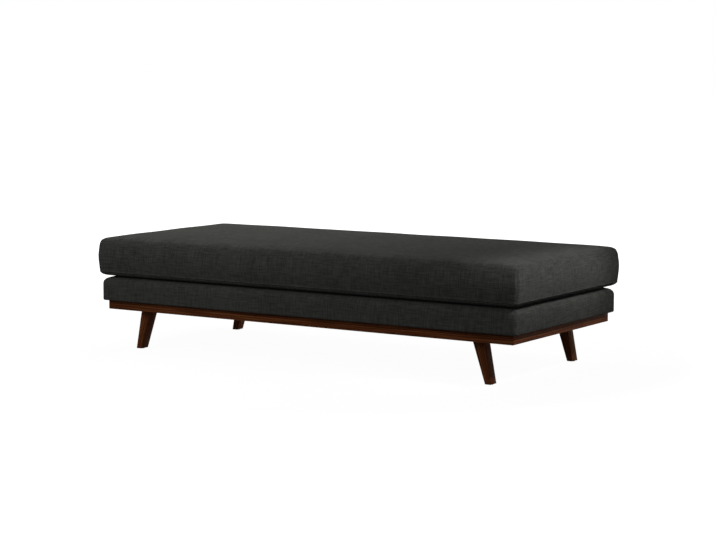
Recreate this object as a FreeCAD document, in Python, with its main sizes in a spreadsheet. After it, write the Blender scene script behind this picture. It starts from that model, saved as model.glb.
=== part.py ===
import FreeCAD, Part
import math
import os
import re

import Sketcher

# Backless divan: a long upholstered bench with one loose seat cushion, a padded base,
# a mitred wooden plinth and four splayed, tapered legs.
# Frame: +X along the length, -Y is the front, +Z up. The origin is on the floor under
# the middle of the bench. All sizes are in millimetres.

# Driving dimensions. Each one is set by itself; places are worked out from them.
SIZES = {
    # Plinth: the wooden frame that the legs carry
    "plinth_length": 1754,
    "plinth_width": 727,
    "plinth_height": 34,
    "plinth_thickness": 22,
    "leg_height": 150,
    "bearer_width": 90,
    "bearer_thickness": 20,
    "plinth_block_side": 60,
    "plinth_block_height": 26,
    # Legs, their plates, bolts and glides
    "leg_end_inset": 157,
    "leg_side_inset": 55.5,
    "leg_splay": 41.5,
    "leg_top_along": 45,
    "leg_top_across": 45,
    "leg_foot_along": 23,
    "leg_foot_across": 42,
    "leg_edge_radius": 1.5,
    "plate_along": 76,
    "plate_across": 56,
    "plate_thickness": 3,
    "plate_screw_along": 62,
    "plate_screw_across": 40,
    "bolt_diameter": 8,
    "bolt_in_leg": 45,
    "bolt_above_plate": 12,
    "bolt_clearance": 2,
    "glide_diameter": 18,
    "glide_proud": 1.5,
    "glide_pin_diameter": 3,
    "glide_pin_length": 12,
    "thread_gap": 0.1,
    # Upholstered base on the plinth
    "base_overhang": 19,
    "base_height": 94,
    "base_corner_radius": 20,
    "base_top_radius": 16,
    "base_bottom_radius": 8,
    "cover_thickness": 1.5,
    "cover_return": 24,
    "deck_lip": 70,
    "side_foam": 9,
    "dust_cover_thickness": 1,
    "cloth_gap": 0.5,
    # Wooden frame inside the base
    "rail_thickness": 25,
    "rail_height": 66,
    "cross_rail_width": 40,
    "cross_rail_height": 46,
    "base_block_side": 70,
    "base_block_height": 50,
    "strap_width": 50,
    "strap_thickness": 2,
    "strap_margin": 8,
    # Screws
    "screw_diameter": 4.5,
    "screw_head_diameter": 9,
    "screw_head_height": 2.5,
    "plate_screw_depth": 15,
    "plinth_screw_depth": 48,
    "plinth_screw_setback": 88,
    "frame_screw_depth": 60,
    "frame_screw_pitch": 30,
    # Loose seat cushion
    "cushion_overhang": 12,
    "cushion_edge_height": 146,
    "cushion_crown": 10,
    "cushion_bottom_radius": 18,
    "cushion_top_radius": 34,
    "cushion_corner_radius": 25,
    "cushion_side_bulge": 4,
    "cushion_front_draw": 3,
    "cushion_end_draw": 2,
    "cushion_seam_height": 18,
    "cushion_gap": 0.3,
    "panel_thickness": 2,
    "fibre_wrap": 14,
    # Zip along the back of the cushion
    "zip_end_margin": 158,
    "zip_tape_width": 30,
    "zip_tape_thickness": 1,
    "zip_chain_width": 6,
    "zip_chain_thickness": 1.8,
    "zip_stop_length": 6,
    "slider_length": 14,
    "slider_wall": 1.2,
    "slider_gap": 0.3,
    "bail_diameter": 1.6,
    "pull_ring_wall": 1,
    "pull_neck_width": 3.2,
    "pull_width": 8,
    "pull_length": 27,
    "pull_thickness": 1.6,
}

# Levels and places that follow from the driving dimensions, as formulas of them.
PLACES = {
    "plinth_top": "leg_height + plinth_height",
    "bearer_bottom": "plinth_top - bearer_thickness",
    "plate_bottom": "bearer_bottom - plate_thickness",
    "bearer_span": "plinth_width - 2 * plinth_thickness",
    "leg_spread": "plinth_length - 2 * leg_end_inset",
    "leg_track": "plinth_width - 2 * leg_side_inset",
    "plinth_screw_pitch": "leg_track / 2 - plinth_screw_setback",
    "base_length": "plinth_length + 2 * base_overhang",
    "base_width": "plinth_width + 2 * base_overhang",
    "base_top": "plinth_top + base_height",
    "frame_bottom": "plinth_top + cover_thickness",
    "frame_length": "base_length - 2 * cover_thickness - 2 * side_foam",
    "frame_width": "base_width - 2 * cover_thickness - 2 * side_foam",
    "frame_span_along": "frame_length - 2 * rail_thickness",
    "frame_span": "frame_width - 2 * rail_thickness",
    "rail_top": "frame_bottom + rail_height",
    "strap_top": "rail_top + strap_thickness",
    "cushion_length": "base_length + 2 * cushion_overhang",
    "cushion_width": "base_width + 2 * cushion_overhang",
    "cushion_bottom": "base_top + cushion_gap",
    "zip_length": "cushion_length - 2 * zip_end_margin",
    "zip_level": "cushion_bottom + (cushion_seam_height + cushion_edge_height - cushion_top_radius) / 2",
    "zip_face": "cushion_width / 2",
    "chain_face": "zip_face + zip_tape_thickness + zip_chain_thickness",
    "slider_inner_face": "chain_face + slider_gap",
    "slider_face": "slider_inner_face + slider_wall",
    "slider_height": "zip_chain_width + 2 * slider_gap + 2 * slider_wall",
    "slider_rest": "zip_length / 2 - zip_stop_length - slider_length / 2 - slider_gap",
    "ring_radius": "bail_diameter / 2 + slider_gap + pull_ring_wall",
    "bail_level": "slider_face + slider_gap + ring_radius",
}

END_SIGNS = {"left": -1, "right": 1}
SIDE_SIGNS = {"front": -1, "rear": 1}
STRAP_COUNT = 14
BUILT = {}

# The cushion's crown: how far the top has climbed, by how far in it is from its shoulder to
# the ridge, which lies at a share of the half width.
CROWN_CLIMB = ((0, 0), (0.5, 0.26), (0.85, 0.6), (1, 1))
RIDGE_SHARE = 0.87
# A level outline's corner grows by a share of how far it is drawn in, up to a share of its
# half width, and an inner form's rounds lose a share of its inset.
CORNER_GROWTH = 0.3
CORNER_LIMIT = 0.8
ROUND_LOSS = 0.5
SMALLEST_ROUND = 1

doc = FreeCAD.newDocument("backless_divan")
sheet = doc.addObject("Spreadsheet::Sheet", "Sizes")


def fill_sheet():
    """One row for each driving dimension: its name, and its value under that alias."""
    for row, (name, value) in enumerate(SIZES.items(), start=1):
        sheet.set(f"A{row}", name)
        sheet.set(f"B{row}", str(value))
        sheet.setAlias(f"B{row}", name)
    doc.recompute()


def bound(formula):
    """The formula with every named place written out and every size read from the sheet."""

    def expand(match):
        word = match.group()
        if word in PLACES:
            return f"({bound(PLACES[word])})"
        return f"Sizes.{word}" if word in SIZES else word

    return re.sub(r"[a-z_]+", expand, str(formula))


def size(formula):
    """The formula's value today, for shapes that are worked out point by point."""
    return float(sheet.evalExpression(bound(formula)))


def bind(item, **formulas):
    """Bind properties of a document object to formulas of the sheet's sizes."""
    for name, formula in formulas.items():
        item.setExpression(name, bound(formula))


def place(item, x="0", y="0", z="0"):
    """Bind an object's position to formulas; one that is always 0 stays as it is."""
    for axis, formula in (("x", x), ("y", y), ("z", z)):
        if str(formula) != "0":
            item.setExpression(f"Placement.Base.{axis}", bound(formula))
    return item


def block(name, length, width, height, x="0", y="0", z="0"):
    """A box centred on (x, y) that stands on the level z."""
    item = doc.addObject("Part::Box", name)
    bind(item, Length=length, Width=width, Height=height)
    return place(item, f"({x}) - ({length}) / 2", f"({y}) - ({width}) / 2", z)


def pin(name, diameter, height, x="0", y="0", z="0"):
    """An upright cylinder centred on (x, y) that stands on the level z."""
    item = doc.addObject("Part::Cylinder", name)
    bind(item, Radius=f"({diameter}) / 2", Height=height)
    return place(item, x, y, z)


def cross_pin(name, diameter, height, x, y, z, toward):
    """A level cylinder from (x, y, z) along +Y, or along -Y when toward is -1."""
    item = pin(name, diameter, height, x, y, z)
    item.Placement.Rotation = FreeCAD.Rotation(FreeCAD.Vector(1, 0, 0), -90 * toward)
    return item


def group(name, items):
    """Separate solids kept together as one piece of the list."""
    item = doc.addObject("Part::Compound", name)
    item.Links = items
    return item


def fused(name, items):
    """Several shapes joined into one."""
    item = doc.addObject("Part::MultiFuse", name)
    item.Shapes = items
    return item


def cut(name, base, tools):
    """The base with every tool taken away."""
    item = doc.addObject("Part::Cut", name)
    item.Base = base
    item.Tool = tools[0] if len(tools) == 1 else group(f"{name}_tools", tools)
    return item


def common(name, base, tool):
    """What the base and the tool have in common."""
    item = doc.addObject("Part::Common", name)
    item.Base = base
    item.Tool = tool
    return item


def ground_plane(body):
    """The body's own level plane."""
    return [item for item in body.Origin.OriginFeatures if item.Role == "XY_Plane"][0]


def outline(body, name, points):
    """A closed sketch of straight lines through points given as pairs of formulas."""
    sketch = body.newObject("Sketcher::SketchObject", name)
    sketch.AttachmentSupport = [(ground_plane(body), "")]
    sketch.MapMode = "FlatFace"
    places = [(size(x), size(y)) for x, y in points]
    corners = [FreeCAD.Vector(x, y, 0) for x, y in places]
    for number, corner in enumerate(corners):
        following = corners[(number + 1) % len(corners)]
        sketch.addGeometry(Part.LineSegment(corner, following), False)
    for number in range(len(corners)):
        joined = (number + 1) % len(corners)
        sketch.addConstraint(Sketcher.Constraint("Coincident", number, 2, joined, 1))
    for number, (x, y) in enumerate(points):
        for kind, formula, value in (
            ("DistanceX", x, places[number][0]),
            ("DistanceY", y, places[number][1]),
        ):
            fixed = Sketcher.Constraint(kind, -1, 1, number, 1, value)
            index = sketch.addConstraint(fixed)
            sketch.setExpression(f"Constraints[{index}]", bound(formula))
    return sketch


def rectangle(length, width, x="0", y="0"):
    """Corner points of a rectangle centred on (x, y)."""
    return [
        (f"({x}) + {a} * ({length}) / 2", f"({y}) + {b} * ({width}) / 2")
        for a, b in ((-1, -1), (1, -1), (1, 1), (-1, 1))
    ]


def prism(name, points, height, z="0"):
    """An upright solid with straight sides over a sketched outline."""
    body = doc.addObject("PartDesign::Body", name)
    sketch = outline(body, f"{name}_outline", points)
    pad = body.newObject("PartDesign::Pad", f"{name}_pad")
    pad.Profile = sketch
    pad.setExpression("Length", bound(height))
    return place(body, z=z)


def round_edges(body, name, chosen, radius):
    """Fillet the edges of the body's tip that the test chooses."""
    doc.recompute()
    tip = body.Tip
    names = [f"Edge{i}" for i, edge in enumerate(tip.Shape.Edges, start=1) if chosen(edge)]
    fillet = body.newObject("PartDesign::Fillet", name)
    fillet.Base = (tip, names)
    fillet.setExpression("Radius", bound(radius))
    doc.recompute()


def is_upright(edge):
    """True for an edge that climbs, splayed or not."""
    box = edge.BoundBox
    return box.ZLength > max(box.XLength, box.YLength)


def is_level_at(height):
    """A test for the edges that lie flat at the given height."""

    def chosen(edge):
        box = edge.BoundBox
        return abs(box.ZMin - height) < 0.01 and abs(box.ZMax - height) < 0.01

    return chosen


def rounded_block(name, inset):
    """The base's outer form, drawn in by an inset all round, with its edges rounded."""
    length = f"base_length - 2 * ({inset})"
    width = f"base_width - 2 * ({inset})"
    height = f"base_height - 2 * ({inset})"
    body = prism(name, rectangle(length, width), height, f"plinth_top + {inset}")
    round_edges(body, f"{name}_corners", is_upright, f"base_corner_radius - {inset}")
    round_edges(body, f"{name}_top", is_level_at(size(height)), f"base_top_radius - {inset}")
    round_edges(body, f"{name}_bottom", is_level_at(0), f"base_bottom_radius - {inset}")
    return body


def screw(name, depth, x, y, z):
    """An upright screw: its head hangs below the level z and its shank climbs by depth."""
    head_level = f"({z}) - screw_head_height"
    head = pin(f"{name}_head", "screw_head_diameter", "screw_head_height", x, y, head_level)
    shank = pin(f"{name}_shank", "screw_diameter", depth, x, y, z)
    return fused(name, [head, shank])


def screw_hole(name, height, x, y, z):
    """The tool that bores an upright hole for a screw, with its running gap."""
    return pin(name, "screw_diameter + 2 * thread_gap", height, x, y, z)


def publish(name, item):
    """Give a finished piece its name and list it for writing."""
    item.Label = name
    BUILT[name] = item
    return item


def leg_places():
    """Each leg's name with its end and side signs."""
    for side, across in SIDE_SIGNS.items():
        for end, along in END_SIGNS.items():
            yield f"{side}_{end}", along, across


def bearer_places():
    """The three cross members of the plinth, with their places along the bench."""
    return {"left": "-leg_spread / 2", "middle": "0", "right": "leg_spread / 2"}


def plinth_screw_places():
    """Where screws tie the plinth's cross members to the base's cross rails."""
    for end, x in bearer_places().items():
        for number in (-1, 0, 1):
            yield end, f"{end}_{number + 2}", x, f"{number} * plinth_screw_pitch"


def plate_screw_places(along, across):
    """Four screw places round one leg's plate."""
    for a in (-1, 1):
        for b in (-1, 1):
            x = f"{along} * leg_spread / 2 + {a} * plate_screw_along / 2"
            y = f"{across} * leg_track / 2 + {b} * plate_screw_across / 2"
            yield f"{a + 1}{b + 1}", x, y


def make_plinth_rails():
    """Four rails mitred at 45 degrees, all of one height."""
    out_x, out_y = "plinth_length / 2", "plinth_width / 2"
    in_x, in_y = f"({out_x} - plinth_thickness)", f"({out_y} - plinth_thickness)"
    for side, sign in SIDE_SIGNS.items():
        points = [
            (f"-{out_x}", f"{sign} * {out_y}"),
            (out_x, f"{sign} * {out_y}"),
            (in_x, f"{sign} * {in_y}"),
            (f"-{in_x}", f"{sign} * {in_y}"),
        ]
        name = f"plinth_rail_{side}"
        publish(name, prism(name, points, "plinth_height", "leg_height"))
    for end, sign in END_SIGNS.items():
        points = [
            (f"{sign} * {out_x}", f"-{out_y}"),
            (f"{sign} * {out_x}", out_y),
            (f"{sign} * {in_x}", in_y),
            (f"{sign} * {in_x}", f"-{in_y}"),
        ]
        name = f"plinth_rail_{end}"
        publish(name, prism(name, points, "plinth_height", "leg_height"))


def corner_blocks(name, inner_length, inner_width, side, height, z):
    """Triangular glue blocks in the four inner corners of a rectangular frame."""
    blocks = []
    for corner, along, across in leg_places():
        x, y = f"{along} * ({inner_length}) / 2", f"{across} * ({inner_width}) / 2"
        points = [(x, y), (f"{x} - {along} * {side}", y), (x, f"{y} - {across} * {side}")]
        blocks.append(prism(f"{name}_{corner}", points, height, z))
    return publish(name, group(name, blocks))


def make_plinth_members():
    """Cross members between the long plinth rails, bored for bolts and screws."""
    for end, x in bearer_places().items():
        name = f"plinth_bearer_{end}"
        blank = block(
            f"{name}_blank",
            "bearer_width",
            "bearer_span",
            "bearer_thickness",
            x,
            "0",
            "bearer_bottom",
        )
        holes = [
            screw_hole(f"{name}_hole_{key}", "bearer_thickness", sx, sy, "bearer_bottom")
            for place_end, key, sx, sy in plinth_screw_places()
            if place_end == end
        ]
        for corner, along, across in leg_places():
            if corner.endswith(end):
                holes.append(
                    pin(
                        f"{name}_bolt_{corner}",
                        "bolt_diameter + 2 * bolt_clearance",
                        "bearer_thickness",
                        x,
                        f"{across} * leg_track / 2",
                        "bearer_bottom",
                    )
                )
                for key, sx, sy in plate_screw_places(along, across):
                    hole = f"{name}_plate_{corner}_{key}"
                    holes.append(screw_hole(hole, "plate_screw_depth", sx, sy, "bearer_bottom"))
        publish(name, cut(name, blank, holes))


def make_leg(corner, along, across):
    """A leg that tapers to its foot and splays outward along the bench."""
    name = f"leg_{corner}"
    top_x, y = f"{along} * leg_spread / 2", f"{across} * leg_track / 2"
    foot_x = f"{along} * (leg_spread / 2 + leg_splay)"
    body = doc.addObject("PartDesign::Body", f"{name}_blank")
    taper = body.newObject("PartDesign::AdditiveWedge", f"{name}_taper")
    bind(
        taper,
        Ymin="glide_proud",
        Ymax="plate_bottom",
        Xmin=f"{foot_x} - leg_foot_along / 2",
        Xmax=f"{foot_x} + leg_foot_along / 2",
        X2min=f"{top_x} - leg_top_along / 2",
        X2max=f"{top_x} + leg_top_along / 2",
        Zmin="-leg_foot_across / 2",
        Zmax="leg_foot_across / 2",
        Z2min="-leg_top_across / 2",
        Z2max="leg_top_across / 2",
    )
    taper.Placement.Rotation = FreeCAD.Rotation(FreeCAD.Vector(1, 0, 0), 90)
    place(body, y=y)
    round_edges(body, f"{name}_edges", is_upright, "leg_edge_radius")
    bore = "bolt_diameter + 2 * thread_gap"
    bolt_hole = pin(f"{name}_bolt", bore, "bolt_in_leg", top_x, y, "plate_bottom - bolt_in_leg")
    nail = "glide_pin_diameter + 2 * thread_gap"
    nail_hole = pin(f"{name}_nail", nail, "glide_pin_length", foot_x, y, "glide_proud")
    publish(name, cut(name, body, [bolt_hole, nail_hole]))
    make_glide(corner, foot_x, y)


def make_glide(corner, x, y):
    """A nail-on glide under the foot, which stands on the floor."""
    name = f"foot_glide_{corner}"
    disc = pin(f"{name}_disc", "glide_diameter", "glide_proud", x, y)
    nail = pin(f"{name}_pin", "glide_pin_diameter", "glide_pin_length", x, y, "glide_proud")
    publish(name, fused(name, [disc, nail]))


def make_leg_fixings():
    """Steel plates under the bearers, their screws, and the bolts that hold the legs."""
    plates, bolts, screws = [], [], []
    for corner, along, across in leg_places():
        x, y = f"{along} * leg_spread / 2", f"{across} * leg_track / 2"
        blank = block(
            f"plate_blank_{corner}",
            "plate_along",
            "plate_across",
            "plate_thickness",
            x,
            y,
            "plate_bottom",
        )
        bore = "bolt_diameter + 2 * thread_gap"
        holes = [pin(f"plate_bore_{corner}", bore, "plate_thickness", x, y, "plate_bottom")]
        for key, sx, sy in plate_screw_places(along, across):
            hole = f"plate_hole_{corner}_{key}"
            holes.append(screw_hole(hole, "plate_thickness", sx, sy, "plate_bottom"))
            depth = "plate_thickness + plate_screw_depth - thread_gap"
            screws.append(screw(f"plate_screw_{corner}_{key}", depth, sx, sy, "plate_bottom"))
        plates.append(cut(f"plate_{corner}", blank, holes))
        length = "bolt_in_leg + plate_thickness + bolt_above_plate"
        bottom = "plate_bottom - bolt_in_leg"
        bolts.append(pin(f"bolt_{corner}", "bolt_diameter", length, x, y, bottom))
    publish("leg_plates", group("leg_plates", plates))
    publish("leg_hanger_bolts", group("leg_hanger_bolts", bolts))
    publish("leg_plate_screws", group("leg_plate_screws", screws))


def make_base_frame():
    """Long rails, end rails between them, three cross rails and corner blocks."""
    for side, sign in SIDE_SIGNS.items():
        name = f"base_rail_{side}"
        y = f"{sign} * (frame_width - rail_thickness) / 2"
        blank = block(
            f"{name}_blank", "frame_length", "rail_thickness", "rail_height", "0", y, "frame_bottom"
        )
        holes = [
            frame_screw_hole(f"{name}_hole_{key}", x, side_sign, z)
            for key, x, side_sign, z in frame_screw_places()
            if side_sign == sign
        ]
        publish(name, cut(name, blank, holes))
    for end, sign in END_SIGNS.items():
        name = f"base_rail_{end}"
        x = f"{sign} * (frame_length - rail_thickness) / 2"
        blank = block(
            f"{name}_blank", "rail_thickness", "frame_span", "rail_height", x, "0", "frame_bottom"
        )
        publish(name, cut(name, blank, screw_holes_at(name, end)))
    for end, x in bearer_places().items():
        name = f"base_cross_rail_{end}"
        blank = block(
            f"{name}_blank",
            "cross_rail_width",
            "frame_span",
            "cross_rail_height",
            x,
            "0",
            "frame_bottom",
        )
        holes = screw_holes_at(name, f"cross_{end}")
        depth = "plinth_screw_depth - bearer_thickness"
        holes += [
            screw_hole(f"{name}_pilot_{key}", depth, sx, sy, "frame_bottom")
            for place_end, key, sx, sy in plinth_screw_places()
            if place_end == end
        ]
        publish(name, cut(name, blank, holes))
    corner_blocks(
        "base_corner_blocks",
        "frame_span_along",
        "frame_span",
        "base_block_side",
        "base_block_height",
        "frame_bottom",
    )


def frame_screw_places():
    """Level screws through the long rails into every member that butts against them."""
    middle = "frame_bottom + cross_rail_height / 2"
    members = {end: f"{sign} * (frame_length - rail_thickness) / 2" for end, sign in END_SIGNS.items()}
    members.update({f"cross_{end}": x for end, x in bearer_places().items()})
    for member, x in members.items():
        for side, sign in SIDE_SIGNS.items():
            for step in (-1, 1):
                z = f"{middle} + {step} * frame_screw_pitch / 2"
                yield f"{member}_{side}_{step + 1}", x, sign, z


def frame_screw_hole(name, x, sign, z):
    """The tool for one level screw hole with a counterbore for its head."""
    face = f"{sign} * frame_width / 2"
    bore = cross_pin(
        f"{name}_bore",
        "screw_diameter + 2 * thread_gap",
        "frame_screw_depth + thread_gap",
        x,
        face,
        z,
        -sign,
    )
    seat = cross_pin(
        f"{name}_seat",
        "screw_head_diameter + 2 * thread_gap",
        "screw_head_height + thread_gap",
        x,
        face,
        z,
        -sign,
    )
    return fused(name, [bore, seat])


def screw_holes_at(name, member):
    """The bores of the level screws that enter one member of the base frame."""
    return [
        frame_screw_hole(f"{name}_end_{key}", x, sign, z)
        for key, x, sign, z in frame_screw_places()
        if key.startswith(member + "_")
    ]


def make_frame_screws():
    """The level screws themselves, their heads just under the rails' outer faces."""
    screws = []
    for key, x, sign, z in frame_screw_places():
        face = f"{sign} * (frame_width / 2 - thread_gap / 2)"
        name = f"frame_screw_{key}"
        shank = cross_pin(f"{name}_shank", "screw_diameter", "frame_screw_depth", x, face, z, -sign)
        head = cross_pin(f"{name}_head", "screw_head_diameter", "screw_head_height", x, face, z, -sign)
        screws.append(fused(name, [shank, head]))
    publish("base_frame_screws", group("base_frame_screws", screws))


def make_suspension():
    """Webbing straps across the base, spread evenly between the end rails."""
    straps = []
    pitch = f"frame_span_along / {STRAP_COUNT}"
    for number in range(STRAP_COUNT):
        x = f"{number - (STRAP_COUNT - 1) / 2} * ({pitch})"
        length = "frame_width - 2 * strap_margin"
        straps.append(
            block(f"strap_{number + 1}", "strap_width", length, "strap_thickness", x, "0", "rail_top")
        )
    publish("seat_webbing", group("seat_webbing", straps))


def make_base_upholstery():
    """Fabric and foam round the base frame, from the outside in."""
    outer = rounded_block("base_outer_form", "0")
    inner = rounded_block("base_inner_form", "cover_thickness")
    window = block(
        "deck_window",
        "base_length - 2 * deck_lip",
        "base_width - 2 * deck_lip",
        "cover_thickness",
        "0",
        "0",
        "base_top - cover_thickness",
    )
    bottom = block(
        "base_bottom_window",
        "base_length - 2 * cover_return",
        "base_width - 2 * cover_return",
        "cover_thickness",
        "0",
        "0",
        "plinth_top",
    )
    publish("base_cover", cut("base_cover", outer, [inner, window, bottom]))
    publish(
        "deck_cloth",
        block(
            "deck_cloth",
            "base_length - 2 * deck_lip",
            "base_width - 2 * deck_lip",
            "cover_thickness",
            "0",
            "0",
            "base_top - cover_thickness",
        ),
    )
    above = block(
        "deck_foam_space", "base_length", "base_width", "base_height", "0", "0", "strap_top"
    )
    publish("deck_foam", common("deck_foam", inner, above))
    below = block(
        "side_foam_space", "base_length", "base_width", "strap_top - plinth_top", "0", "0", "plinth_top"
    )
    ring = common("side_foam_ring", inner, below)
    heart = block("frame_space", "frame_length", "frame_width", "base_height", "0", "0", "plinth_top")
    publish("base_side_foam", cut("base_side_foam", ring, [heart]))


def make_dust_cover():
    """Black cloth under the frame, inside the cover's return, bored for the screws."""
    sheet_blank = block(
        "dust_cover_blank",
        "base_length - 2 * cover_return - 2 * cloth_gap",
        "base_width - 2 * cover_return - 2 * cloth_gap",
        "dust_cover_thickness",
        "0",
        "0",
        "frame_bottom - dust_cover_thickness",
    )
    holes = [
        screw_hole(f"dust_cover_hole_{key}", "cover_thickness", x, y, "plinth_top")
        for end, key, x, y in plinth_screw_places()
    ]
    publish("dust_cover", cut("dust_cover", sheet_blank, holes))


def make_plinth_screws():
    """Screws up through the plinth's cross members into the base's cross rails."""
    screws = [
        screw(f"plinth_screw_{key}", "plinth_screw_depth", x, y, "bearer_bottom")
        for end, key, x, y in plinth_screw_places()
    ]
    publish("plinth_screws", group("plinth_screws", screws))


def arc(start, middle, end):
    """An edge along the circle through three points."""
    return Part.Arc(start, middle, end).toShape()


def cushion_section(half_length, half_width, corner, z):
    """A level outline of the cushion: arcs drawn in along the front and the two ends.

    The back stays straight for the zip. Each corner is a quarter arc.
    """
    front, ends = size("cushion_front_draw"), size("cushion_end_draw")
    cut_in = corner * (1 - math.sqrt(0.5))

    def point(x, y):
        return FreeCAD.Vector(x, y, z)

    def round_corner(along, across):
        """A quarter arc, given from the corner's front or back side to its end side."""
        return (
            point(along * (half_length - corner), across * half_width),
            point(along * (half_length - cut_in), across * (half_width - cut_in)),
            point(along * half_length, across * (half_width - corner)),
        )

    front_left, front_right = round_corner(-1, -1), round_corner(1, -1)
    back_left, back_right = round_corner(-1, 1), round_corner(1, 1)
    return Part.Wire(
        [
            arc(front_left[0], point(0, front - half_width), front_right[0]),
            arc(*front_right),
            arc(front_right[2], point(half_length - ends, 0), back_right[2]),
            arc(*reversed(back_right)),
            Part.LineSegment(back_right[0], back_left[0]).toShape(),
            arc(*back_left),
            arc(back_left[2], point(ends - half_length, 0), front_left[2]),
            arc(*reversed(front_left)),
        ]
    )


def cushion_form(name, inset):
    """The crowned cushion, drawn in by an inset all round, as lofts through level outlines.

    From the flat bottom a small round turns up to the seam, the side swells to its girth
    and comes back, a large round turns over, and shallow steps climb to the crown.
    """
    inner = size(inset)
    half_length = size("cushion_length") / 2 - inner
    half_width = size("cushion_width") / 2 - inner
    bottom = size("cushion_bottom") + inner
    edge_top = size("cushion_bottom") + size("cushion_edge_height") - inner
    bulge, crown = size("cushion_side_bulge"), size("cushion_crown")
    low_round = max(size("cushion_bottom_radius") - ROUND_LOSS * inner, SMALLEST_ROUND)
    top_round = max(size("cushion_top_radius") - ROUND_LOSS * inner, SMALLEST_ROUND)
    slope = 1 - math.sqrt(0.5)
    girth = (bottom + low_round + edge_top - top_round) / 2
    shoulder = top_round + bulge
    ridge = RIDGE_SHARE * half_width
    turn_up = [
        (bottom, low_round + bulge),
        (bottom + slope * low_round, slope * low_round + bulge),
        (bottom + low_round, bulge),
    ]
    side = [(bottom + low_round, bulge), (girth, 0), (edge_top - top_round, bulge)]
    turn_over = [
        (edge_top - top_round, bulge),
        (edge_top - slope * top_round, slope * top_round + bulge),
        (edge_top, shoulder),
    ]
    climb = [
        (edge_top + crown * share, shoulder + (ridge - shoulder) * way)
        for share, way in CROWN_CLIMB
    ]
    solids = []
    for levels in (turn_up, side, turn_over, climb):
        wires = []
        for z, drawn_in in levels:
            length, width = half_length - drawn_in, half_width - drawn_in
            wanted = size("cushion_corner_radius") + CORNER_GROWTH * drawn_in
            wires.append(cushion_section(length, width, min(wanted, CORNER_LIMIT * width), z))
        solids.append(Part.makeLoft(wires, True, False))
    form = doc.addObject("Part::Feature", name)
    form.Shape = solids[0].fuse(solids[1:])
    return form


def make_cushion():
    """Cover panels, fibre wrap and foam core, one inside the other."""
    outer = cushion_form("cushion_outer_form", "0")
    lining = cushion_form("cushion_lining_form", "panel_thickness")
    core = cushion_form("cushion_core_form", "panel_thickness + fibre_wrap")
    shell = cut("cushion_shell", outer, [lining])
    below = block(
        "cushion_below_seam",
        "cushion_length",
        "cushion_width",
        "2 * cushion_seam_height",
        "0",
        "0",
        "cushion_bottom - cushion_seam_height",
    )
    publish("cushion_cover_bottom", common("cushion_cover_bottom", shell, below))
    publish("cushion_cover_top", cut("cushion_cover_top", shell, [below]))
    publish("cushion_fibre_wrap", cut("cushion_fibre_wrap", lining, [core]))
    publish("cushion_foam_core", core)


def make_zip():
    """Tape and chain along the cushion's back, a slider over them and its pull."""
    tape = block(
        "zip_tape",
        "zip_length",
        "zip_tape_thickness",
        "zip_tape_width",
        "0",
        "zip_face + zip_tape_thickness / 2",
        "zip_level - zip_tape_width / 2",
    )
    chain_y = "zip_face + zip_tape_thickness + zip_chain_thickness / 2"
    chain = block(
        "zip_chain",
        "zip_length - 2 * zip_stop_length",
        "zip_chain_thickness",
        "zip_chain_width",
        "0",
        chain_y,
        "zip_level - zip_chain_width / 2",
    )
    stops = [
        block(
            f"zip_stop_{end}",
            "zip_stop_length",
            "zip_chain_thickness + slider_wall",
            "slider_height",
            f"{sign} * (zip_length - zip_stop_length) / 2",
            f"{chain_y} + slider_wall / 2",
            "zip_level - slider_height / 2",
        )
        for end, sign in END_SIGNS.items()
    ]
    publish("zip_tape", tape)
    publish("zip_chain", chain)
    publish("zip_stops", group("zip_stops", stops))
    make_slider()
    make_pull()


def make_slider():
    """A channel that rides over the chain, with two ears that hold the bail."""
    thickness = "zip_chain_thickness + slider_wall"
    outer = block(
        "slider_outer",
        "slider_length",
        thickness,
        "slider_height",
        "slider_rest",
        f"slider_face - ({thickness}) / 2",
        "zip_level - slider_height / 2",
    )
    channel = block(
        "slider_channel",
        "slider_length",
        "zip_chain_thickness + slider_gap",
        "zip_chain_width + 2 * slider_gap",
        "slider_rest",
        "slider_inner_face - (zip_chain_thickness + slider_gap) / 2",
        "zip_level - zip_chain_width / 2 - slider_gap",
    )
    channelled = cut("slider_channelled", outer, [channel])
    ear_offset = "(pull_neck_width / 2 + slider_gap + slider_wall / 2)"
    ears = [
        block(
            f"slider_ear_{number}",
            "2 * ring_radius",
            "bail_level + bail_diameter - slider_face",
            "slider_wall",
            "slider_rest",
            "(bail_level + bail_diameter + slider_face) / 2",
            f"zip_level + {sign} * {ear_offset} - slider_wall / 2",
        )
        for number, sign in ((1, -1), (2, 1))
    ]
    bail = pin(
        "slider_bail",
        "bail_diameter",
        "pull_neck_width + 2 * slider_gap + 2 * slider_wall",
        "slider_rest",
        "bail_level",
        "zip_level - pull_neck_width / 2 - slider_gap - slider_wall",
    )
    publish("zip_slider", fused("zip_slider", [channelled, *ears, bail]))


def make_pull():
    """A flat tab whose ring turns on the slider's bail; at rest it trails toward -X."""
    ring = pin(
        "pull_ring",
        "2 * ring_radius",
        "pull_neck_width",
        "slider_rest",
        "bail_level",
        "zip_level - pull_neck_width / 2",
    )
    reach = "2 * ring_radius"
    neck = block(
        "pull_neck",
        reach,
        "pull_thickness",
        "pull_neck_width",
        f"slider_rest - ({reach}) / 2",
        "bail_level",
        "zip_level - pull_neck_width / 2",
    )
    tab = block(
        "pull_tab",
        f"pull_length - ({reach})",
        "pull_thickness",
        "pull_width",
        f"slider_rest - ({reach}) - (pull_length - ({reach})) / 2",
        "bail_level",
        "zip_level - pull_width / 2",
    )
    solid = fused("pull_solid", [ring, neck, tab])
    bore = pin(
        "pull_bore",
        "bail_diameter + 2 * slider_gap",
        "pull_neck_width",
        "slider_rest",
        "bail_level",
        "zip_level - pull_neck_width / 2",
    )
    publish("zip_pull", cut("zip_pull", solid, [bore]))


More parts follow.
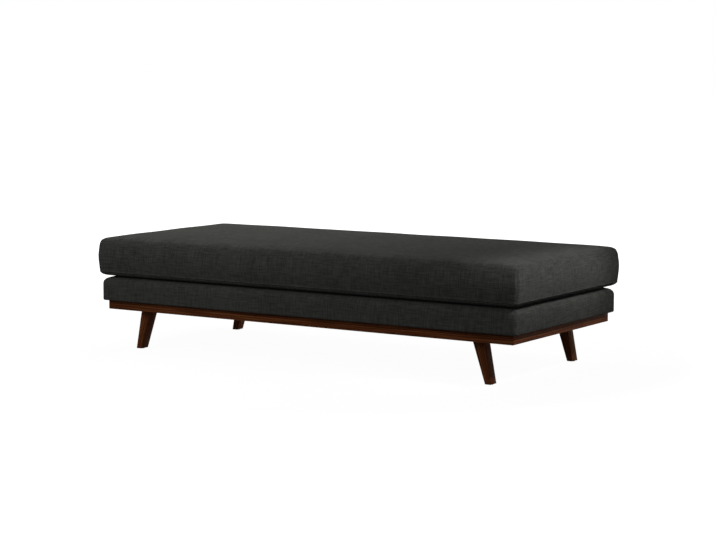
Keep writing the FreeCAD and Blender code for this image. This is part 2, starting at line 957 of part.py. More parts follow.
def check_model():
    """Stop if any object failed to compute or any piece is empty or broken."""
    for item in doc.Objects:
        if "Invalid" in item.State or "Error" in item.State:
            raise RuntimeError(f"{item.Name} did not compute: {item.State}")
    for name, item in BUILT.items():
        if item.Shape.isNull() or not item.Shape.isValid() or not item.Shape.Solids:
            raise RuntimeError(f"{name} has no valid solid")


def write_parts():
    """One STEP file for each named piece."""
    os.makedirs("parts", exist_ok=True)
    for name, item in BUILT.items():
        item.Shape.exportStep(f"parts/{name}.step")


def build():
    """Make every piece, check the model, and write the parts."""
    fill_sheet()
    make_plinth_rails()
    corner_blocks(
        "plinth_corner_blocks",
        "plinth_length - 2 * plinth_thickness",
        "plinth_width - 2 * plinth_thickness",
        "plinth_block_side",
        "plinth_block_height",
        "plinth_top - plinth_block_height",
    )
    make_plinth_members()
    for corner, along, across in leg_places():
        make_leg(corner, along, across)
    make_leg_fixings()
    make_plinth_screws()
    make_base_frame()
    make_frame_screws()
    make_suspension()
    make_base_upholstery()
    make_dust_cover()
    make_cushion()
    make_zip()
    doc.recompute()
    check_model()
    write_parts()
    print(f"{len(BUILT)} pieces written")


build()
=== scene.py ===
"""The looks of the backless divan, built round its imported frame.

Units are metres. +X runs along the length, -Y is the front, +Z is up, and the origin is on the
floor under the middle of the bench. Every place is worked out from the frame's nodes.
"""

import logging
from dataclasses import dataclass, field
from enum import Enum
from functools import reduce
from math import pi, radians

import bpy
import numpy as np
from mathutils import Matrix, Vector


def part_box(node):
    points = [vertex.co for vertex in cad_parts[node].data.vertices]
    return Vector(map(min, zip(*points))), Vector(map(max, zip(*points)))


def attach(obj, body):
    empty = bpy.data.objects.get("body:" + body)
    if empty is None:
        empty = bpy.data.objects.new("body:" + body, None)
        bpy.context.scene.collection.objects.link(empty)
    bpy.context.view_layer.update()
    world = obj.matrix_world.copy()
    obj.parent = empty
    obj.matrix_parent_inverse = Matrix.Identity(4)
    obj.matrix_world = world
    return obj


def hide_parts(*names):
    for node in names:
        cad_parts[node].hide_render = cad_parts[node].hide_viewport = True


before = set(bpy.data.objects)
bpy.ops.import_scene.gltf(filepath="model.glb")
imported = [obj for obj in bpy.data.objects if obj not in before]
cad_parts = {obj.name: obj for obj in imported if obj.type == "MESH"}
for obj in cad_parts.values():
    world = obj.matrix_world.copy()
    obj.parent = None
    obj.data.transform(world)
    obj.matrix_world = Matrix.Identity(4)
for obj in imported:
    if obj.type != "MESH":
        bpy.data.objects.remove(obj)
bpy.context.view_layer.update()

log = logging.getLogger("divan")
MM = 0.001
UV_NAME = "UVMap"
SHARP_ANGLE = radians(38)
UPWARD = np.array([0.0, 0.0, 1.0])
REARWARD = np.array([0.0, 1.0, 0.0])
WHITE = (1.0, 1.0, 1.0, 1.0)

Colour = tuple[float, float, float]
Material = bpy.types.Material
Socket = bpy.types.NodeSocket
Value = Socket | float
Inputs = dict[str | int, Socket | float | tuple[float, ...]]


class Body(Enum):
    """The frame's moving bodies that new pieces ride on."""

    FRAME = "frame"
    CUSHION = "cushion"


class Slot(Enum):
    """The record's material slots."""

    UPHOLSTERY = "upholstery_fabric"
    DECK = "deck_fabric"
    DUST = "dust_cloth"
    WALNUT = "walnut"
    TIMBER = "frame_timber"
    STEEL = "zinc_steel"
    NYLON = "glide_nylon"
    WEBBING = "webbing"
    FOAM = "foam"
    FIBRE = "fibre"
    ZIP_FABRIC = "zip_fabric"
    ZIP_PLASTIC = "zip_plastic"
    ZIP_METAL = "zip_metal"


class Axis(Enum):
    """A direction of the frame, as an index into a point."""

    X = 0
    Y = 1


@dataclass(frozen=True)
class Box:
    """A node's box at rest: its lowest and highest corners."""

    low: np.ndarray
    high: np.ndarray

    @classmethod
    def of(cls, *nodes: str) -> "Box":
        """Read the box that holds some CAD nodes.

        Args:
            nodes: the nodes' names.

        Returns:
            Their common box.
        """
        corners = [np.array(corner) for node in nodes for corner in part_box(node)]
        return cls(np.min(corners, axis=0), np.max(corners, axis=0))

    @property
    def centre(self) -> np.ndarray:
        """The middle of the box."""
        return (self.low + self.high) / 2

    @property
    def size(self) -> np.ndarray:
        """The box's three sides."""
        return self.high - self.low


def node_box(*nodes: str) -> Box:
    """Give a dataclass field that reads the common box of some CAD nodes."""
    return field(default_factory=lambda: Box.of(*nodes))


def smooth(share: np.ndarray) -> np.ndarray:
    """Ease a share from 0 to 1 with level ends: 3t^2 - 2t^3, held inside 0 and 1."""
    held = np.clip(share, 0, 1)
    return held * held * (3 - 2 * held)


def sheet_faces(rows: int, columns: int, wrap_rows: bool = False, wrap_columns: bool = False) -> np.ndarray:
    """Join a grid of points into four-sided faces.

    Point (row, column) is number row * columns + column, and each face joins a point with the
    next in its row and their neighbours in the next row.

    Args:
        rows: how many rows of points there are.
        columns: how many points are in a row.
        wrap_rows: join the last row to the first.
        wrap_columns: join each row's last point to its first.

    Returns:
        The faces, four point numbers each.
    """
    row = np.arange(rows if wrap_rows else rows - 1)[:, None]
    column = np.arange(columns if wrap_columns else columns - 1)[None, :]
    next_row, next_column = (row + 1) % rows, (column + 1) % columns
    corners = [
        row * columns + column,
        row * columns + next_column,
        next_row * columns + next_column,
        next_row * columns + column,
    ]
    return np.stack([np.broadcast_to(c, (row.size, column.size)).ravel() for c in corners], axis=1)


def travelled(points: np.ndarray) -> np.ndarray:
    """Measure the way round a closed path.

    Args:
        points: the path's points in order.

    Returns:
        The distance along the path to each point, and last the whole way round.
    """
    steps = np.linalg.norm(np.diff(points, axis=0, append=points[:1]), axis=1)
    return np.concatenate([[0.0], np.cumsum(steps)])


def past_seam(places: np.ndarray, count: int) -> np.ndarray:
    """Let a pattern run on over the faces that join the last place of a closed path to its first.

    Args:
        places: the place along the path of each face's corners.
        count: how many places the path has.

    Returns:
        The places, where the closing faces have count for their first one.
    """
    closing = places.max(axis=1) - places.min(axis=1) > 1
    return np.where(closing[:, None] & (places == 0), count, places)


def link(name: str, data: bpy.types.ID) -> bpy.types.Object:
    """Put an object into the scene, at the origin.

    Args:
        name: the object's name.
        data: its mesh, lamp or camera.

    Returns:
        The object.
    """
    thing = bpy.data.objects.new(name, data)
    bpy.context.scene.collection.objects.link(thing)
    return thing


@dataclass
class Piece:
    """A visible piece as arrays, before it becomes a Blender object."""

    name: str
    points: np.ndarray
    faces: np.ndarray | list[tuple[int, ...]]
    corner_uv: np.ndarray | None = None

    def make(self, material: Material, body: Body, slot: Slot, *nodes: str) -> bpy.types.Object:
        """Put the arrays into a mesh object, hang it on its body and hide the CAD nodes that it stands for.

        Args:
            material: its finish.
            body: the CAD body that carries it.
            slot: not used.
            nodes: the CAD nodes that it stands for.

        Returns:
            The new object, at the origin.
        """
        mesh = bpy.data.meshes.new(self.name)
        faces = self.faces.tolist() if isinstance(self.faces, np.ndarray) else self.faces
        mesh.from_pydata(self.points.reshape(-1, 3), [], faces)
        if self.corner_uv is not None:
            layer = mesh.uv_layers.new(name=UV_NAME)
            layer.data.foreach_set("uv", self.corner_uv.astype(np.float32).ravel())
        mesh.validate()
        mesh.polygons.foreach_set("use_smooth", np.ones(len(mesh.polygons), bool))
        mesh.materials.append(material)
        piece = link(self.name, mesh)
        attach(piece, body.value)
        if nodes:
            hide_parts(*nodes)
        log.info("%s: %d points, %d faces", self.name, len(mesh.vertices), len(mesh.polygons))
        return piece


def grid_piece(name: str, x: np.ndarray, y: np.ndarray, z: np.ndarray, turned: bool = False) -> Piece:
    """Join a grid of points into a sheet.

    Args:
        name: the piece's name.
        x: the points' places along the length, row by row.
        y: their places from front to rear.
        z: their heights.
        turned: let the faces look the other way.

    Returns:
        The sheet.
    """
    faces = sheet_faces(*x.shape)
    points = np.stack([x, y, z], axis=-1).reshape(-1, 3)
    return Piece(name, points, faces[:, ::-1] if turned else faces)


def joined(name: str, parts: list[Piece]) -> Piece:
    """Put several parts into one piece.

    Args:
        name: the piece's name.
        parts: the parts, all of them with cloth coordinates or none.

    Returns:
        The joined piece.
    """
    starts = np.cumsum([0] + [len(part.points) for part in parts[:-1]]).tolist()
    faces = [tuple(int(n) + start for n in face) for start, part in zip(starts, parts) for face in part.faces]
    uv = None if parts[0].corner_uv is None else np.vstack([part.corner_uv for part in parts])
    return Piece(name, np.vstack([part.points for part in parts]), faces, uv)


def subdivide(piece: bpy.types.Object) -> None:
    """Finish a piece with one level of Subdivision Surface, on screen and in renders."""
    modifier = piece.modifiers.new("rounding", "SUBSURF")
    modifier.levels = modifier.render_levels = 1


class Graph:
    """The nodes of a material or of the world, made by short calls that return sockets."""

    def __init__(self, owner: Material | bpy.types.World) -> None:
        """Start with no nodes.

        Args:
            owner: the material or world that the nodes are for.
        """
        owner.use_nodes = True
        self.owner = owner
        self.nodes, self.links = owner.node_tree.nodes, owner.node_tree.links
        self.nodes.clear()

    @classmethod
    def named(cls, name: str) -> "Graph":
        """Start a new material of that name."""
        return cls(bpy.data.materials.new(name))

    def node(self, kind: str, inputs: Inputs | None = None, **options: str | bool) -> bpy.types.Node:
        """Add a shader node.

        Args:
            kind: the node's type, without the ShaderNode in front.
            inputs: values or sockets by input name or number.
            options: the node's own settings.

        Returns:
            The new node.
        """
        node = self.nodes.new("ShaderNode" + kind)
        for name, value in options.items():
            setattr(node, name, value)
        for name, value in (inputs or {}).items():
            if isinstance(value, Socket):
                self.links.new(value, node.inputs[name])
            else:
                node.inputs[name].default_value = value
        return node

    def math(self, operation: str, a: Value, b: Value = 0.0, clamp: bool = False) -> Socket:
        """Work out one number from two."""
        return self.node("Math", {0: a, 1: b}, operation=operation, use_clamp=clamp).outputs[0]

    def add(self, a: Value, b: Value, clamp: bool = False) -> Socket:
        """Add two numbers, and hold the sum inside 0 and 1 if it is to be clamped."""
        return self.math("ADD", a, b, clamp)

    def times(self, a: Value, b: Value) -> Socket:
        """Multiply two numbers."""
        return self.math("MULTIPLY", a, b)

    def fabric_place(self) -> Socket:
        """Read the piece's own UV map, which is in metres of cloth or wood."""
        return self.node("UVMap", uv_map=UV_NAME).outputs["UV"]

    def object_place(self) -> Socket:
        """Read the place in the frame, in metres."""
        return self.node("TexCoord").outputs["Object"]

    def axes(self, place: Socket) -> list[Socket]:
        """Part a place into its three numbers."""
        return list(self.node("SeparateXYZ", {0: place}).outputs)

    def scaled(self, place: Socket, scale: Colour, offset: Colour = (0.0, 0.0, 0.0)) -> Socket:
        """Stretch a place before a pattern reads it."""
        return self.node("Mapping", {"Vector": place, "Scale": scale, "Location": offset}).outputs["Vector"]

    def noise(self, place: Socket, scale: float = 1.0, detail: float = 2.0, bend: float = 0.0) -> Socket:
        """Read a soft noise from 0 to 1, around a half."""
        inputs = {"Vector": place, "Scale": scale, "Detail": detail, "Distortion": bend}
        return self.node("TexNoise", inputs).outputs[0]

    def spread(
        self, value: Value, low: float, high: float, to_low: float = 0.0, to_high: float = 1.0
    ) -> Socket:
        """Stretch a number from one range to another, held at its ends."""
        inputs = {"Value": value, "From Min": low, "From Max": high, "To Min": to_low, "To Max": to_high}
        return self.node("MapRange", inputs).outputs[0]

    def even(self, noise: Socket, low: float = 0.0, high: float = 1.0) -> Socket:
        """Spread a noise, which mostly lies between 0.3 and 0.7, over a whole range."""
        return self.spread(noise, 0.3, 0.7, low, high)

    def blend(self, share: Value, first: Socket | Colour, second: Socket | Colour) -> Socket:
        """Mix two colours by a share from 0 to 1.

        The Mix node has its two colours as inputs 6 and 7, and the mixed one as output 2.

        Args:
            share: how much of the second colour there is.
            first: the first colour.
            second: the second colour.

        Returns:
            The mixed colour.
        """
        ends = [end if isinstance(end, Socket) else (*end, 1.0) for end in (first, second)]
        return self.node("Mix", {"Factor": share, 6: ends[0], 7: ends[1]}, data_type="RGBA").outputs[2]

    def finish(
        self,
        colour: Socket,
        roughness: Value,
        height: Socket,
        depth: float,
        others: dict[str, float] | None = None,
    ) -> Material:
        """Close the material with the Principled shader.

        Args:
            colour: its base colour.
            roughness: how dull it is.
            height: the height of its relief, from 0 to 1.
            depth: the relief's depth in metres.
            others: more values of the shader, by name.

        Returns:
            The material.
        """
        relief = self.node("Bump", {"Height": height, "Distance": depth, "Strength": 1.0}).outputs[0]
        inputs = {"Base Color": colour, "Roughness": roughness, "Normal": relief, **(others or {})}
        shader = self.node("BsdfPrincipled", inputs)
        self.node("OutputMaterial", {"Surface": shader.outputs[0]})
        return self.owner


@dataclass(frozen=True)
class LinenWeave:
    """Charcoal plain weave with uneven yarns: long slubs lie along both thread directions.

    The streaks' figures are changes per metre, for the coarse and the fine ones. The shares are
    of the way from the dark tone to the light one, and the heights are of the relief.
    """

    name: str = "charcoal_linen_weave"
    dark: Colour = (0.019, 0.019, 0.0175)
    light: Colour = (0.083, 0.0825, 0.0755)
    thread: float = 1.1 * MM
    relief: float = 0.35 * MM
    streaks_along: tuple[float, float] = (15.0, 32.0)
    streaks_across: tuple[float, float] = (230.0, 640.0)
    streak_detail: float = 1.5
    streak_start: Colour = (1.3, 2.9, 0.0)
    streak_shift: Colour = (3.7, 5.1, 7.0)
    cloud_scale: float = 5.0
    cloud_detail: float = 3.0
    slub_share: float = 0.56
    cloud_share: float = 0.14
    thread_share: float = 0.18
    thread_height: float = 0.55
    slub_height: float = 0.9
    roughness: float = 0.92
    specular: float = 0.0
    sheen: float = 0.06
    sheen_roughness: float = 0.5

    def slubs(self, g: Graph, place: Socket) -> Socket:
        """Streak the cloth along each thread direction.

        A noise is stretched so that it changes slowly along the thread and quickly across it,
        and is read at a place of its own for each scale and direction.

        Args:
            g: the material's graph.
            place: the cloth's own coordinates.

        Returns:
            One number around 0.5, the mean of all the streaks.
        """
        streaks = []
        for number, (slow, fast) in enumerate(zip(self.streaks_along, self.streaks_across)):
            for turn, scale in enumerate(((slow, fast, 1.0), (fast, slow, 1.0))):
                steps = np.array([number, turn, number]) * self.streak_shift
                offset = np.array(self.streak_start) + steps + (0.0, 0.0, turn)
                streak = g.noise(g.scaled(place, scale, tuple(offset)), detail=self.streak_detail)
                streaks.append(g.even(streak))
        return g.times(reduce(g.add, streaks), 1 / len(streaks))

    def material(self) -> Material:
        """Build the weave.

        Each thread's height is the sine of its place across, and the two directions take turns
        to lie on top where the product of the sines changes sign.

        Returns:
            The material.
        """
        g = Graph.named(self.name)
        place = g.fabric_place()
        waves = [g.math("SINE", g.times(axis, pi / self.thread)) for axis in g.axes(place)[:2]]
        warp, weft = (g.math("ABSOLUTE", wave) for wave in waves)
        over = g.math("GREATER_THAN", g.times(*waves), 0.0)
        height = g.node("Mix", {"Factor": over, "A": weft, "B": warp}).outputs[0]
        slubs = self.slubs(g, place)
        clouds = g.noise(g.object_place(), self.cloud_scale, self.cloud_detail)
        tone = g.add(g.even(slubs, high=self.slub_share), g.even(clouds, high=self.cloud_share))
        tone = g.add(tone, g.times(height, self.thread_share), clamp=True)
        relief = g.add(g.times(height, self.thread_height), g.times(slubs, self.slub_height))
        gloss = {
            "Specular IOR Level": self.specular,
            "Sheen Weight": self.sheen,
            "Sheen Roughness": self.sheen_roughness,
        }
        return g.finish(g.blend(tone, self.dark, self.light), self.roughness, relief, self.relief, gloss)


@dataclass(frozen=True)
class PlainCloth:
    """A plain dense cloth: decking, non-woven dust cover, zip tape, webbing or thread."""

    name: str
    dark: Colour
    light: Colour
    thread: float = 0.8 * MM
    relief: float = 0.15 * MM
    mottle_scale: float = 60.0
    mottle_detail: float = 3.0
    mottle_share: float = 0.6
    roughness: float = 0.9
    specular: float = 0.03

    def material(self) -> Material:
        """Build the cloth: two crossed sine waves for its threads over a mottled tone.

        Returns:
            The material.
        """
        g = Graph.named(self.name)
        place = g.object_place()
        x, y, z = g.axes(place)
        waves = [g.math("SINE", g.times(axis, pi / self.thread)) for axis in (g.add(x, z), y)]
        threads = g.math("MAXIMUM", *(g.math("ABSOLUTE", wave) for wave in waves))
        mottle = g.noise(place, self.mottle_scale, self.mottle_detail)
        woven = g.times(threads, 1 - self.mottle_share)
        tone = g.add(g.even(mottle, high=self.mottle_share), woven, clamp=True)
        colour = g.blend(tone, self.dark, self.light)
        gloss = {"Specular IOR Level": self.specular}
        return g.finish(colour, self.roughness, g.add(threads, mottle), self.relief, gloss)


@dataclass(frozen=True)
class StainedWalnut:
    """Red-brown stained walnut under satin lacquer, with its grain along the piece's U.

    Each scale is in changes per metre along the grain and across it.
    """

    name: str = "stained_walnut"
    deep: Colour = (0.020, 0.0046, 0.0018)
    mid: Colour = (0.115, 0.034, 0.0115)
    light: Colour = (0.265, 0.098, 0.036)
    board_shift: float = 0.6
    ring_scale: Colour = (1.6, 42.0, 1.0)
    ring_bend: float = 5.5
    ring_detail: float = 3.0
    ring_detail_scale: float = 1.4
    ring_share: float = 0.34
    figure_scale: Colour = (3.0, 55.0, 1.0)
    figure_detail: float = 4.0
    figure_bend: float = 0.6
    figure_range: tuple[float, float] = (0.25, 0.75)
    figure_share: float = 0.5
    streak_scale: Colour = (7.0, 420.0, 1.0)
    streak_start: Colour = (2.0, 9.0, 0.0)
    streak_shares: tuple[float, float] = (-0.12, 0.2)
    pore_scale: Colour = (46.0, 2300.0, 1.0)
    pore_range: tuple[float, float] = (0.6, 0.72)
    pore_share: float = 0.75
    roughness: tuple[float, float] = (0.37, 0.5)
    specular: float = 0.012
    relief: float = 0.06 * MM

    def material(self) -> Material:
        """Build the wood.

        Growth lines are bands across the grain, bent by a slow noise; pores are short dark
        dashes from a noise stretched a few hundred times along the grain. The pattern's third
        place grows with the place from front to rear, so that no two boards match.

        Returns:
            The material.
        """
        g = Graph.named(self.name)
        shift = g.times(g.axes(g.object_place())[1], self.board_shift)
        moved = g.node("CombineXYZ", {0: 0.0, 1: 0.0, 2: shift}).outputs[0]
        place = g.node("VectorMath", {0: g.fabric_place(), 1: moved}, operation="ADD").outputs[0]
        bands = {
            "Vector": g.scaled(place, self.ring_scale),
            "Scale": 1.0,
            "Distortion": self.ring_bend,
            "Detail": self.ring_detail,
            "Detail Scale": self.ring_detail_scale,
        }
        rings = g.node("TexWave", bands, bands_direction="Y").outputs["Fac"]
        figure = g.scaled(place, self.figure_scale)
        figure = g.noise(figure, detail=self.figure_detail, bend=self.figure_bend)
        streaks = g.noise(g.scaled(place, self.streak_scale, self.streak_start))
        pores = g.spread(g.noise(g.scaled(place, self.pore_scale), detail=1.0), *self.pore_range)
        tone = g.spread(figure, *self.figure_range, 0.0, self.figure_share)
        tone = g.add(g.times(rings, self.ring_share), tone)
        tone = g.add(tone, g.even(streaks, *self.streak_shares), clamp=True)
        colour = g.blend(g.spread(tone, 0.0, 0.5), self.deep, self.mid)
        colour = g.blend(g.spread(tone, 0.5, 1.0), colour, self.light)
        colour = g.blend(g.times(pores, self.pore_share), colour, self.deep)
        roughness = g.even(figure, *self.roughness)
        gloss = {"Specular IOR Level": self.specular}
        return g.finish(colour, roughness, g.math("SUBTRACT", tone, pores), self.relief, gloss)


@dataclass(frozen=True)
class PlanedTimber:
    """Pale planed softwood, unfinished, for the frame that doesn't show."""

    name: str
    grain: Axis
    dark: Colour = (0.36, 0.22, 0.11)
    light: Colour = (0.66, 0.49, 0.3)
    bands_across: float = 60.0
    bands_along: float = 2.0
    band_detail: float = 3.0
    band_bend: float = 0.8
    flecks_across: float = 500.0
    flecks_along: float = 30.0
    fleck_share: float = 0.15
    roughness: float = 0.72
    relief: float = 0.1 * MM

    def material(self) -> Material:
        """Build the timber from growth bands that run along its grain, bent by noise.

        Returns:
            The material.
        """
        g = Graph.named(self.name)
        place = g.object_place()
        slow, fast = np.full(3, self.bands_across), np.full(3, self.flecks_across)
        slow[self.grain.value], fast[self.grain.value] = self.bands_along, self.flecks_along
        bands = g.noise(g.scaled(place, tuple(slow)), detail=self.band_detail, bend=self.band_bend)
        flecks = g.noise(g.scaled(place, tuple(fast)), detail=1.0)
        tone = g.add(g.even(bands), g.even(flecks, -self.fleck_share, self.fleck_share), clamp=True)
        return g.finish(g.blend(tone, self.dark, self.light), self.roughness, tone, self.relief)


@dataclass(frozen=True)
class Fitting:
    """A hard small part: zinc-plated steel, lacquered metal or moulded nylon."""

    name: str
    colour: Colour
    worn: Colour
    metallic: float = 0.0
    roughness: float = 0.4
    rub_scale: float = 120.0
    rub_detail: float = 3.0
    grain_scale: float = 900.0
    grain_share: float = 0.5
    rub_range: tuple[float, float] = (0.6, 1.0)
    polished: float = 0.08
    scuffed: float = 0.12
    relief: float = 0.03 * MM

    def material(self) -> Material:
        """Build the finish: a base colour rubbed towards a worn one by two scales of noise.

        Returns:
            The material.
        """
        g = Graph.named(self.name)
        place = g.object_place()
        rub = g.noise(place, self.rub_scale, self.rub_detail)
        grain = g.noise(place, self.grain_scale)
        tone = g.spread(g.add(rub, g.times(grain, self.grain_share)), *self.rub_range)
        roughness = g.even(rub, self.roughness - self.polished, self.roughness + self.scuffed)
        colour = g.blend(tone, self.colour, self.worn)
        return g.finish(colour, roughness, grain, self.relief, {"Metallic": self.metallic})


@dataclass(frozen=True)
class Filling:
    """Foam or fibre wadding: a pale body with open cells or loose strands."""

    name: str
    colour: Colour
    shade: Colour
    cell_scale: float = 600.0
    cell_reach: float = 0.8
    mottle_scale: float = 18.0
    mottle_detail: float = 3.0
    mottle_range: tuple[float, float] = (0.2, 0.8)
    mottle_low: float = 0.7
    roughness: float = 0.95
    specular: float = 0.2
    relief: float = 0.4 * MM

    def material(self) -> Material:
        """Build the filling from a cell pattern over a soft mottle.

        Returns:
            The material.
        """
        g = Graph.named(self.name)
        place = g.object_place()
        cells = g.node("TexVoronoi", {"Vector": place, "Scale": self.cell_scale}).outputs["Distance"]
        mottle = g.noise(place, self.mottle_scale, self.mottle_detail)
        mottle = g.spread(mottle, *self.mottle_range, self.mottle_low, 1.0)
        tone = g.times(g.spread(cells, 0.0, self.cell_reach), mottle)
        colour = g.blend(tone, self.colour, self.shade)
        return g.finish(colour, self.roughness, cells, self.relief, {"Specular IOR Level": self.specular})


@dataclass(frozen=True)
class Waves:
    """Slow uneven waves over a cloth: the product of two sines, each bent by one across it.

    rates are the two sines' own in radians a metre, bends how far they are bent in radians,
    bend_rates how fast, and phases where the first bend and the second sine start.
    """

    rates: tuple[float, float]
    bends: tuple[float, float]
    bend_rates: tuple[float, float]
    phases: tuple[float, float]

    def height(self, x: np.ndarray, y: np.ndarray) -> np.ndarray:
        """Work out the waves: sin(a x + b sin(c y + p)) times sin(d y + e sin(f x) + q).

        Args:
            x: places along the length.
            y: places from front to rear.

        Returns:
            Heights from -1 to 1.
        """
        first = self.rates[0] * x + self.bends[0] * np.sin(self.bend_rates[0] * y + self.phases[0])
        second = self.rates[1] * y + self.bends[1] * np.sin(self.bend_rates[1] * x) + self.phases[1]
        return np.sin(first) * np.sin(second)


@dataclass(frozen=True)
class Stations:
    """Places of a lattice along one axis: a straight run with a turned edge at each end.

    run is where the straight core is, turn the tangent of the turned angle past each end (0 on
    the run, 1 at 45 degrees), and length the distance along the surface from the axis' middle.
    """

    run: np.ndarray
    turn: np.ndarray
    length: np.ndarray

    @classmethod
    def along(
        cls, low: float, high: float, radii: tuple[float, float], spacing: float, shares: tuple[float, ...]
    ) -> "Stations":
        """Space the places along an axis.

        Args:
            low: the lowest place of the whole axis.
            high: the highest place.
            radii: the turned edge's radius at each end.
            spacing: about how far apart the places on the run are.
            shares: the turned angles as shares of 45 degrees, falling from 1.

        Returns:
            The stations, lowest first.
        """
        angles = np.array(shares) * pi / 4
        start, end = low + radii[0], high - radii[1]
        count = max(3, round((end - start) / spacing) + 1)
        edge = np.ones(len(angles))
        run = np.concatenate([edge * start, np.linspace(start, end, count), edge * end])
        turn = np.concatenate([-np.tan(angles), np.zeros(count), np.tan(angles[::-1])])
        reach = np.where(run < (start + end) / 2, radii[0], radii[1])
        length = run - (start + end) / 2 + reach * np.arctan(turn)
        return cls(run, turn, length)


class Face(Enum):
    """The six faces of a lattice, each as its fixed axis and end."""

    LEFT = (0, 0)
    RIGHT = (0, -1)
    FRONT = (1, 0)
    REAR = (1, -1)
    BOTTOM = (2, 0)
    TOP = (2, -1)


@dataclass
class Lattice:
    """The points of a box-shaped lattice that lie on its surface, with faces and cloth lengths."""

    axes: tuple[Stations, Stations, Stations]
    index: np.ndarray = field(init=False)
    places: np.ndarray = field(init=False)

    def __post_init__(self) -> None:
        """Number the surface points, and keep each one's three places in the lattice."""
        counts = [len(axis.run) for axis in self.axes]
        grid = np.stack(np.meshgrid(*map(np.arange, counts), indexing="ij"), axis=-1)
        outside = ((grid == 0) | (grid == np.array(counts) - 1)).any(axis=-1)
        self.index = np.where(outside, np.cumsum(outside).reshape(outside.shape) - 1, -1)
        self.places = grid[outside]

    def read(self, what: str) -> np.ndarray:
        """Give a quantity of the stations at each surface point, one column for each axis.

        Args:
            what: run, turn or length.

        Returns:
            An array with a row for each point.
        """
        return np.stack([getattr(axis, what)[self.places[:, n]] for n, axis in enumerate(self.axes)], axis=1)

    def face(self, side: Face) -> tuple[np.ndarray, np.ndarray]:
        """Join one side's points into faces that look outwards, with their cloth coordinates.

        The cloth of the top runs down over the four sides, so a side's coordinates go on from
        the top's: across the edge they grow by the length below the top.

        Args:
            side: which side.

        Returns:
            The faces, and the U and V of each of their corners.
        """
        axis, end = side.value
        numbers = np.take(self.index, end, axis=axis)
        outwards = (end == 0) != (axis == 1)
        faces = numbers.ravel()[sheet_faces(*numbers.shape)]
        faces = faces if outwards else faces[:, ::-1]
        length = self.read("length")
        half = length.max(axis=0)
        drop = half[2] - length[:, 2]
        sign = -1 if end == 0 else 1
        u, v = length[:, 0], length[:, 1]
        if axis == 0:
            u = sign * (half[0] + drop)
        elif axis == 1:
            v = sign * (half[1] + drop)
        elif side is Face.BOTTOM:
            v = v + 2 * half[1] + 2 * half[2]
        return faces, np.stack([u, v], axis=1)[faces]

    def skin(self) -> tuple[np.ndarray, np.ndarray]:
        """Join all six sides: give their faces, and the U and V of each of their corners."""
        faces, uvs = zip(*(self.face(side) for side in Face))
        return np.concatenate(faces), np.concatenate(uvs)

    def ring(self, level: int) -> np.ndarray:
        """Give the numbers of the points round the lattice at one level, turning to the left."""
        plan = self.index[:, :, level]
        return np.concatenate([plan[:-1, 0], plan[-1, :-1], plan[:0:-1, -1], plan[0, :0:-1]])

    def outward(self, power: float) -> tuple[np.ndarray, np.ndarray, np.ndarray]:
        """Give how far each point is turned away from the core, as shares of the radius.

        The horizontal turn is measured with a power mean, so a high power gives a squarer
        corner in plan.

        Args:
            power: the power of the mean.

        Returns:
            The horizontal direction, the horizontal share and the vertical share.
        """
        turn = self.read("turn")
        flat = (np.abs(turn[:, :2]) ** power).sum(axis=1) ** (1 / power)
        total = np.hypot(flat, turn[:, 2])
        total[total == 0] = 1
        direction = turn[:, :2] / np.where(flat == 0, 1, flat)[:, None]
        return direction, flat / total, turn[:, 2] / total


@dataclass
class Pad:
    """A rounded block of filling or a cover: a lattice with its own edge radii.

    The top edge is round. The foot's edge is foot_height high and foot_reach deep. Each point
    has a horizontal direction outwards, and shares of how far it is turned that way and up.
    """

    low: np.ndarray
    high: np.ndarray
    top_radius: float
    foot_height: float
    foot_reach: float
    spacing: float = 12 * MM
    power: float = 2.0
    corner_shares: tuple[float, ...] = (1.0, 0.75, 0.5, 0.25)
    edge_shares: tuple[float, ...] = (1.0, 0.7, 0.35)
    edge: float = field(init=False)
    lattice: Lattice = field(init=False)
    direction: np.ndarray = field(init=False)
    flat: np.ndarray = field(init=False)
    rise: np.ndarray = field(init=False)

    def __post_init__(self) -> None:
        """Lay out the lattice."""
        self.edge = max(self.top_radius, self.foot_reach)
        radii = ((self.edge, self.edge), (self.edge, self.edge), (self.foot_height, self.top_radius))
        shares = (self.corner_shares, self.corner_shares, self.edge_shares)
        spans = zip(self.low, self.high, radii, shares)
        self.lattice = Lattice(tuple(Stations.along(*span[:3], self.spacing, span[3]) for span in spans))
        self.direction, self.flat, self.rise = self.lattice.outward(self.power)

    def form(self) -> np.ndarray:
        """Work out the rounded block.

        The core is a box inset by the edge, and each point stands off it along its turned
        direction: on a quarter circle above the core, on a quarter ellipse below it.

        Returns:
            A point for each lattice place.
        """
        points = self.lattice.read("run")
        wide = np.where(self.rise >= 0, self.top_radius, self.foot_reach)
        tall = np.where(self.rise >= 0, self.top_radius, self.foot_height)
        reach = np.where(self.flat > 0, self.edge - wide + wide * self.flat, 0.0)
        points[:, :2] += self.direction * reach[:, None]
        points[:, 2] += tall * self.rise
        return points

    def block(self, name: str) -> Piece:
        """Give the rounded block as a piece."""
        faces, uvs = self.lattice.skin()
        return Piece(name, self.form(), faces, uvs.reshape(-1, 2))


